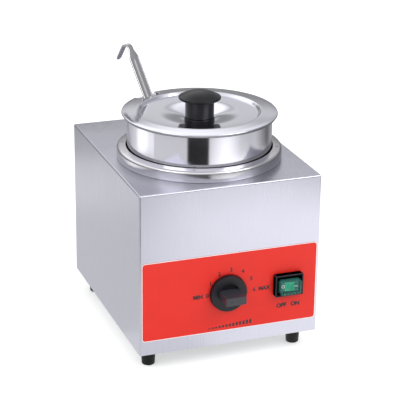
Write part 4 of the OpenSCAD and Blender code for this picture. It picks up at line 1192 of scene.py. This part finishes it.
@dataclass
class ThermostatKnob:
    """The control knob: a disc with a round pocket and a bar grip across it."""

    disc_r: float = 21.7
    back: float = 1.2
    disc_h: float = 7.0
    pocket_r: float = 11.7
    pocket_d: float = 3.2
    grip_l: float = 24.4
    grip_t: float = 9.4
    proud: float = 28.0

    def build(self) -> None:
        """Makes the disc, the grip and the pointer's mark."""
        centre = (KNOB_X, FRONT_Y, KNOB_Z)
        disc = self.build_disc(centre)
        grip = stacked(
            "knob_grip",
            edge_rings(
                self.grip_l / 2, self.grip_t / 2, 1.4, self.disc_h - self.pocket_d - 0.3, self.proud, 0.7, 6
            ),
            centre, GRIP_ABS, "dial", steps=6,
        )
        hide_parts("control_knob")
        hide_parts("control_knob")
        dot = stacked(
            "knob_pointer_dot", [(0.8, 0.8, 0.8, self.proud - 0.3), (0.8, 0.8, 0.8, self.proud + 0.03)],
            (KNOB_X - 0.22 * self.grip_l, FRONT_Y, KNOB_Z), PRINT_INK, "dial",
        )
        log.info("%s marks the grip's pointer end", dot.name)

    def build_disc(self, centre: tuple[float, float, float]) -> bpy.types.Object:
        """Turns the disc's outline, a skirt that leans in a little, about the knob's axis.

        Args:
            centre: the knob's centre on the casing's face.

        Returns:
            The disc.
        """
        floor = self.disc_h - self.pocket_d
        under = self.back + 1.4
        outline = np.array(
            [
                (6.0, under), (6.0, self.back), (3.1, self.back), (3.1, floor),
            ]
        )
        face = rounded_path(
            [
                (3.1, floor), (self.pocket_r, floor), (self.pocket_r, self.disc_h),
                (self.disc_r - 0.6, self.disc_h), (self.disc_r, self.back), (self.disc_r - 2, self.back),
                (self.disc_r - 2, under), (6.0, under),
            ],
            [0, 0.4, 0.5, 1.1, 0.3, 0.2, 0, 0], 7,
        )
        outline = np.concatenate([outline[1:], face[1:]])
        grid = spin(outline, 160)
        grid = np.stack([grid[..., 0], -grid[..., 2], grid[..., 1]], 2) + np.array(centre)
        return make_piece(
            "knob_disc", grid, quads(len(outline), 160, True), KNOB_ABS, "dial"
        )


@dataclass
class PowerSwitch:
    """The sealed rocker switch: bezel, green rocker with its window, and clear boot."""

    bezel: tuple[float, float] = (33.4, 25.6)
    bezel_proud: float = 8.0
    pocket: tuple[float, float] = (30.2, 22.4)
    pocket_floor: float = 6.0
    rocker: tuple[float, float] = (21.0, 12.0)
    rocker_front: float = 10.6
    pivot: float = 1.0
    rest_tilt: float = 7.0
    boot: tuple[float, float] = (25.6, 17.0)
    boot_drop: float = 0.7
    boot_front: float = 15.4
    boot_t: float = 0.9
    back: float = -21.0
    back_size: tuple[float, float] = (28.0, 21.0)
    room_floor: float = -10.0
    window: tuple[float, float] = (11.2, 10.0)
    stem_half: float = 5.0
    mark_h: float = 3.6
    mark_places: tuple[tuple[str, str, float, float], ...] = (
        ("off", "O", -7.4, 0.0), ("on", "I", 7.8, 90.0),
    )

    def build(self) -> None:
        """Makes the bezel's softened rim, the rocker and the boot."""
        self.build_bezel()
        self.build_rocker()
        self.build_boot()

    def build_bezel(self) -> None:
        """Makes the bezel and the switch's back as one closed moulding with a well for the rocker."""
        half_w, half_h = self.bezel[0] / 2, self.bezel[1] / 2
        in_w, in_h = self.pocket[0] / 2, self.pocket[1] / 2
        room_w, room_h = self.rocker[0] / 2 + 1.2, self.rocker[1] / 2 + 0.5
        front = edge_rings(half_w, half_h, 1.4, PANEL_T, self.bezel_proud, 0.7)
        back_w, back_h = self.back_size[0] / 2, self.back_size[1] / 2
        sections = [
            (1e-3, 1e-3, 1e-4, self.back), (back_w, back_h, 0.3, self.back), (back_w, back_h, 0.3, PANEL_T),
            (half_w, half_h, 1.4, PANEL_T), *front[1:],
            (in_w + 0.3, in_h + 0.3, 1.0, self.bezel_proud), (in_w, in_h, 0.8, self.bezel_proud - 0.3),
            (in_w, in_h, 0.8, self.pocket_floor), (room_w, room_h, 0.3, self.pocket_floor),
            (room_w, room_h, 0.3, self.room_floor), (1e-3, 1e-3, 1e-4, self.room_floor),
        ]
        bezel = stacked(
            "switch_bezel", sections, (SWITCH_X, FRONT_Y, SWITCH_Z), BEZEL_NYLON, "casing"
        )
        log.info("%s covers the front of the switch's housing", bezel.name)

    def build_rocker(self) -> None:
        """Makes the rocker's face, its window and its two marks."""
        tilt = Matrix.Rotation(math.radians(-self.rest_tilt), 4, "Z")
        centre = (SWITCH_X, FRONT_Y - self.pivot, SWITCH_Z)
        front = self.rocker_front - self.pivot
        half_w, half_h = self.rocker[0] / 2, self.rocker[1] / 2
        cap = stacked(
            "rocker_cap", edge_rings(half_w, half_h, 0.9, front - 6, front, 0.6), centre, ROCKER_PC,
            "rocker", tilt=tilt,
        )
        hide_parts("switch_rocker")
        stacked(
            "rocker_stem",
            [(self.stem_half, half_h - 0.2, 0.5, reach) for reach in (-4.9, front - 5.9)],
            centre, BEZEL_NYLON, "rocker", tilt=tilt,
        )
        stacked(
            "rocker_window",
            edge_rings(self.window[0] / 2, self.window[1] / 2, 0.5, front - 0.4, front + 0.12, 0.1),
            centre, LENS_PC, "rocker", tilt=tilt,
        )
        turned = np.array(tilt.to_3x3())
        for name, words, x, turn in self.mark_places:
            spot = turned @ np.array([x, -front - 0.12, 0]) + np.array(centre)
            printed(
                f"rocker_mark_{name}", words, self.mark_h, tuple(spot), WHITE_INK, "rocker",
                0.2, tilt, turn,
            )

    def build_boot(self) -> None:
        """Makes the boot, a rounded cap with one even wall."""
        half_w, half_h, wall = self.boot[0] / 2, self.boot[1] / 2, self.boot_t
        outer = edge_rings(half_w, half_h, 3.2, self.pocket_floor + 0.02, self.boot_front, 2.6, 8)
        inner = edge_rings(
            half_w - wall, half_h - wall, 2.4, self.pocket_floor + 0.02, self.boot_front - wall, 1.8, 8
        )
        tip = 1e-3
        sections = (
            outer + [(tip, tip, tip / 2, self.boot_front), (tip, tip, tip / 2, self.boot_front - wall)]
            + inner[::-1]
        )
        boot = stacked(
            "clear_boot", sections, (SWITCH_X, FRONT_Y, SWITCH_Z - self.boot_drop), BOOT_SILICONE,
            "casing", closed=True,
        )
        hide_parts("switch_boot")


# ------------------------------------------------------------------ studio


@dataclass
class Studio:
    """The camera, a pale floor, a soft sky, two soft lamps and a low round tent of glowing bands.

    Each band's greys are (azimuth in degrees, light) marks, and the sky's are (elevation, light).
    """

    azimuth: float = -20.216
    elevation: float = 21.2
    roll: float = 0.669
    distance: float = 1.7921
    target: tuple[float, float, float] = (0.01023, 0.003, 0.14656)
    lens: float = 137.475
    sky: tuple[tuple[float, float], ...] = (
        (0, 0.3), (10, 0.42), (13, 0.36), (15, 0.42), (17, 0.76), (19, 0.86), (21.5, 0.55), (26, 1.45),
        (34, 1.45), (45, 1.5), (60, 1.0), (90, 0.9),
    )
    tent: tuple[tuple[float, float], ...] = (
        (-170, 0.6), (-150, 0.62), (-131, 0.9), (-119, 1.8), (-110, 1.8), (-98, 1.25), (-84, 0.82),
        (-38, 0.8), (-36, 0.02), (-7, 0.02), (-5, 0.92), (16, 1.5), (25, 1.42), (43, 0.82),
        (55, 0.74), (72, 0.7), (91, 0.33), (105, 0.15), (120, 0.36), (150, 0.45),
    )
    skirt: tuple[tuple[float, float], ...] = (
        (-175, 0.95), (-150, 0.95), (-130, 0.9), (-118, 0.4), (-106, 0.4), (-94, 0.8), (-38, 0.8),
        (-36, 0.03), (-7, 0.03), (-5, 1.1), (12, 1.6), (30, 1.75), (50, 1.6), (75, 1.75), (95, 1.6),
        (120, 0.8), (150, 0.6),
    )
    hood: tuple[tuple[float, float], ...] = (
        (-160, 0.4), (-120, 0.32), (-90, 0.16), (-60, 0.12), (60, 0.12), (90, 0.16), (120, 0.36), (160, 0.4),
    )
    crown: tuple[tuple[float, float], ...] = (
        (-170, 0.34), (-120, 0.34), (-80, 0.5), (-20, 0.6), (30, 0.55), (60, 0.24), (115, 0.2), (150, 0.34),
    )
    ring: tuple[tuple[float, float], ...] = (
        (-175, 0.8), (-150, 0.8), (-120, 0.8), (-60, 0.95), (-10, 1.05), (5, 1.3), (60, 1.4), (100, 0.9),
        (150, 0.7),
    )
    rim: tuple[float, float] = (0.087, 0.2613)
    pot_foot: tuple[float, float] = (0.0825, 0.225)
    tent_r: float = 0.45
    tent_h: float = 0.36
    hood_h: float = 0.035
    tent_steps: int = 256
    tent_foot: float = 0.0004
    sensor_mm: float = 36.0
    ring_r: float = 0.09
    ring_z: float = 0.0003
    brightest: float = 1.8
    floor_half: float = 12.0
    floor_glow: float = 0.4
    wall_azimuth: float = 108.0
    wall_elevation: float = 18.0
    wall_reach: tuple[float, float] = (0.6, 0.92)
    wall_grey: tuple[float, float, float] = (0.27, 0.27, 0.28)
    lamps: tuple[tuple[str, tuple[float, float, float], float, float], ...] = (
        ("key_lamp", (1.1, -1.4, 1.8), 1.3, 15.0), ("fill_lamp", (-1.5, -0.9, 1.3), 1.2, 6.0),
    )
    lamp_aim: tuple[float, float, float] = (0, 0, 0.12)

    def build(self) -> None:
        """Sets up everything that isn't the object."""
        self.build_camera()
        self.build_floor()
        self.build_sky()
        self.build_lamps()
        self.build_tent()
        bpy.context.scene.view_settings.view_transform = "Standard"

    def build_camera(self) -> None:
        """Aims the camera: it looks back along the azimuth and elevation, rolled a little."""
        a, e, r = (math.radians(v) for v in (self.azimuth, self.elevation, self.roll))
        back = Vector((math.sin(a) * math.cos(e), -math.cos(a) * math.cos(e), math.sin(e)))
        right = Vector((math.cos(a), math.sin(a), 0))
        up = back.cross(right)
        across = right * math.cos(r) + up * math.sin(r)
        above = -right * math.sin(r) + up * math.cos(r)
        lens = bpy.data.cameras.new("studio_camera")
        lens.lens = self.lens
        lens.sensor_width = self.sensor_mm
        lens.clip_end = 50.0
        camera = bpy.data.objects.new("studio_camera", lens)
        spot = Vector(self.target) + back * self.distance
        camera.matrix_world = Matrix.Translation(spot) @ Matrix((across, above, back)).transposed().to_4x4()
        bpy.context.scene.collection.objects.link(camera)
        bpy.context.scene.camera = camera

    def build_floor(self) -> None:
        """Makes a pale matt floor that shows as white where no shadow falls."""
        made = bpy.data.materials.new("pale_floor")
        tree = blank_tree(made)
        paint = add_node(tree, "ShaderNodeBsdfDiffuse", Color=(0.8, 0.8, 0.8, 1))
        glow = add_node(tree, "ShaderNodeEmission", Color=(1, 1, 1, 1), Strength=self.floor_glow)
        both = add_node(tree, "ShaderNodeAddShader", {0: paint.outputs[0], 1: glow.outputs[0]})
        rays = add_node(tree, "ShaderNodeLightPath")
        seen = add_node(
            tree, "ShaderNodeMath",
            {0: rays.outputs["Is Camera Ray"], 1: rays.outputs["Is Glossy Ray"]}, operation="MAXIMUM",
        )
        seen = add_node(
            tree, "ShaderNodeMath", {0: seen.outputs[0], 1: rays.outputs["Is Transmission Ray"]},
            operation="MAXIMUM",
        )
        mixed = add_node(
            tree, "ShaderNodeMixShader", {0: seen.outputs[0], 1: paint.outputs[0], 2: both.outputs[0]}
        )
        add_node(tree, "ShaderNodeOutputMaterial", {"Surface": mixed.outputs[0]})
        mesh = bpy.data.meshes.new("studio_floor")
        corners = np.array([[-1, -1, 0], [1, -1, 0], [1, 1, 0], [-1, 1, 0]]) * self.floor_half
        mesh.from_pydata(corners.tolist(), [], [[0, 1, 2, 3]])
        mesh.materials.append(made)
        floor = bpy.data.objects.new("studio_floor", mesh)
        bpy.context.scene.collection.objects.link(floor)

    def shade(self, ramp: bpy.types.Node, stops: Sequence[tuple[float, float]]) -> None:
        """Fills a ramp with greys.

        Args:
            ramp: the ramp's node.
            stops: (place from 0 to 1, light) in rising order, with light up to brightest.
        """
        marks = ramp.color_ramp.elements
        while len(marks) < len(stops):
            marks.new(0.5)
        for mark, (place, light) in zip(marks, stops):
            mark.position = place
            mark.color = (*[light / self.brightest] * 3, 1)

    def build_sky(self) -> None:
        """Makes a soft sky with a grey wall on the right, that the camera sees as plain white."""
        world = bpy.data.worlds.new("soft_sky")
        bpy.context.scene.world = world
        tree = blank_tree(world)
        place = add_node(tree, "ShaderNodeTexCoord")
        split = add_node(tree, "ShaderNodeSeparateXYZ", {"Vector": place.outputs["Generated"]})
        ramp = add_node(tree, "ShaderNodeValToRGB", {"Fac": split.outputs["Z"]})
        self.shade(ramp, [(math.sin(math.radians(up)), light) for up, light in self.sky])
        turn, up = math.radians(self.wall_azimuth), math.radians(self.wall_elevation)
        toward = (math.sin(turn) * math.cos(up), -math.cos(turn) * math.cos(up), math.sin(up))
        side = add_node(
            tree, "ShaderNodeVectorMath", {0: place.outputs["Generated"]}, operation="DOT_PRODUCT"
        )
        side.inputs[1].default_value = toward
        wall = add_node(
            tree, "ShaderNodeMapRange", {"Value": side.outputs["Value"]},
            interpolation_type="SMOOTHSTEP", From_Min=self.wall_reach[0], From_Max=self.wall_reach[1],
        )
        mixed = add_node(
            tree, "ShaderNodeMix", {0: wall.outputs["Result"], 6: ramp.outputs["Color"]}, data_type="RGBA"
        )
        mixed.inputs[7].default_value = (*self.wall_grey, 1)
        soft = add_node(
            tree, "ShaderNodeBackground", {"Color": mixed.outputs[2]}, Strength=self.brightest
        )
        white = add_node(tree, "ShaderNodeBackground", Color=(1, 1, 1, 1), Strength=1.0)
        rays = add_node(tree, "ShaderNodeLightPath")
        seen = add_node(
            tree, "ShaderNodeMixShader",
            {0: rays.outputs["Is Camera Ray"], 1: soft.outputs[0], 2: white.outputs[0]},
        )
        add_node(tree, "ShaderNodeOutputWorld", {"Surface": seen.outputs[0]})

    def build_lamps(self) -> None:
        """Hangs a large soft lamp on the right and a weaker one on the left."""
        for name, spot, size, power in self.lamps:
            light = bpy.data.lights.new(name, "AREA")
            light.size = size
            light.energy = power
            lamp = bpy.data.objects.new(name, light)
            lamp.location = spot
            aim = Vector(self.lamp_aim) - Vector(spot)
            lamp.rotation_mode = "QUATERNION"
            lamp.rotation_quaternion = aim.to_track_quat("-Z", "Y")
            bpy.context.scene.collection.objects.link(lamp)

    def band(
        self, name: str, inner: np.ndarray, outer: np.ndarray, stops: Sequence[tuple[float, float]]
    ) -> None:
        """Makes one glowing band about the well, seen only in metal and gloss.

        Its edges are given for azimuths a = 2 pi k / n as (r, z), and point (r, z) becomes
        (r sin a, -r cos a, z) about the well.

        Args:
            name: the band's name.
            inner: its lower or inner edge, (r, z) in metres for each azimuth.
            outer: its upper or outer edge.
            stops: (azimuth, light) marks of its grey.
        """
        made = bpy.data.materials.new(name)
        tree = blank_tree(made)
        place = add_node(tree, "ShaderNodeTexCoord")
        moved = add_node(
            tree, "ShaderNodeMapping", {"Vector": place.outputs["Object"]}, Location=(0, -WELL_Y * MM, 0)
        )
        turn = add_node(
            tree, "ShaderNodeTexGradient", {"Vector": moved.outputs["Vector"]}, gradient_type="RADIAL"
        )
        ramp = add_node(tree, "ShaderNodeValToRGB", {"Fac": turn.outputs["Fac"]})
        self.shade(ramp, sorted(((a + 90) / 360 % 1, light) for a, light in stops))
        cloth = add_node(
            tree, "ShaderNodeEmission", {"Color": ramp.outputs["Color"]}, Strength=self.brightest
        )
        add_node(tree, "ShaderNodeOutputMaterial", {"Surface": cloth.outputs[0]})
        count = len(inner)
        angle = np.linspace(0, 2 * np.pi, count, endpoint=False)
        rows = [
            np.stack([edge[:, 0] * np.sin(angle), WELL_Y * MM - edge[:, 0] * np.cos(angle), edge[:, 1]], 1)
            for edge in (inner, outer)
        ]
        mesh = bpy.data.meshes.new(name)
        mesh.from_pydata(np.concatenate(rows).tolist(), [], quads(2, count, False).tolist())
        mesh.materials.append(made)
        strip = bpy.data.objects.new(name, mesh)
        for kind in ("camera", "diffuse", "shadow", "transmission"):
            setattr(strip, f"visible_{kind}", False)
        bpy.context.scene.collection.objects.link(strip)

    def mirrored(self, count: int, radius: float, height: float) -> np.ndarray:
        """Works out where the tent's wall shows in an upright round wall, at one of its heights.

        A line of sight d to the wall at azimuth f is turned to d - 2 (d . n) n, where n is
        (sin f, -cos f, 0), and followed to the tent's wall.  Its height there is read off at
        each azimuth.

        Args:
            count: azimuths round the tent.
            radius: the round wall's radius in metres.
            height: the height on it.

        Returns:
            A height in metres for each azimuth.
        """
        a, e = math.radians(self.azimuth), math.radians(self.elevation)
        eye = np.array(self.target) + self.distance * np.array(
            [math.sin(a) * math.cos(e), -math.cos(a) * math.cos(e), math.sin(e)]
        )
        eye = eye - np.array([0, WELL_Y * MM, 0])
        turn = a + np.radians(np.linspace(-86, 86, 173))
        normal = np.stack([np.sin(turn), -np.cos(turn), 0 * turn], 1)
        spot = normal * radius + np.array([0, 0, height])
        sight = spot - eye
        sight /= np.linalg.norm(sight, axis=1, keepdims=True)
        away = sight - 2 * np.sum(sight * normal, axis=1, keepdims=True) * normal
        flat = np.linalg.norm(away[:, :2], axis=1)
        cross = np.sum(spot[:, :2] * away[:, :2], axis=1) / flat
        reach = (-cross + np.sqrt(cross**2 + self.tent_r**2 - radius**2)) / flat
        hit = spot + away * reach[:, None]
        where = np.degrees(np.unwrap(np.arctan2(hit[:, 0], -hit[:, 1])))
        order = np.argsort(where)
        wanted = np.linspace(0, 360, count, endpoint=False)
        wanted = (wanted - self.azimuth + 180) % 360 - 180 + self.azimuth
        return np.interp(wanted, where[order], hit[order, 2])

    def build_tent(self) -> None:
        """Stands a low round tent about the kettle: skirt, pale cloth, dark hood, crown and floor ring.

        The cloth is mid grey with two white strips, a dim side and a black slot where the lens
        looks in.
        """
        count = self.tent_steps
        flat = np.ones(count)
        edge = self.mirrored(count, *self.rim)
        waist = self.mirrored(count, *self.pot_foot)
        foot, belt, seam, brow, top = (
            np.stack([self.tent_r * flat, height * flat], 1)
            for height in (self.tent_foot, waist, edge, edge + self.hood_h, self.tent_h)
        )
        self.band("studio_skirt", foot, belt, self.skirt)
        self.band("studio_tent", belt, seam, self.tent)
        self.band("studio_hood", seam, brow, self.hood)
        self.band("studio_crown", brow, top, self.crown)
        near, far = (np.stack([r * flat, self.ring_z * flat], 1) for r in (self.ring_r, self.tent_r))
        self.band("studio_floor_ring", near, far, self.ring)


def main() -> None:
    """Builds the studio and then the kettle, one sub-assembly after another."""
    logging.basicConfig(level=logging.INFO)
    Studio().build()
    SteelBody().dress()
    for part in (
        Collar(), Pot(), Lid(), LidKnob(), Ladle(), FrontPanel(), ThermostatKnob(), PowerSwitch(),
    ):
        part.build()
        log.info("built %s", type(part).__name__)


if __name__ == "__main__":
    main()
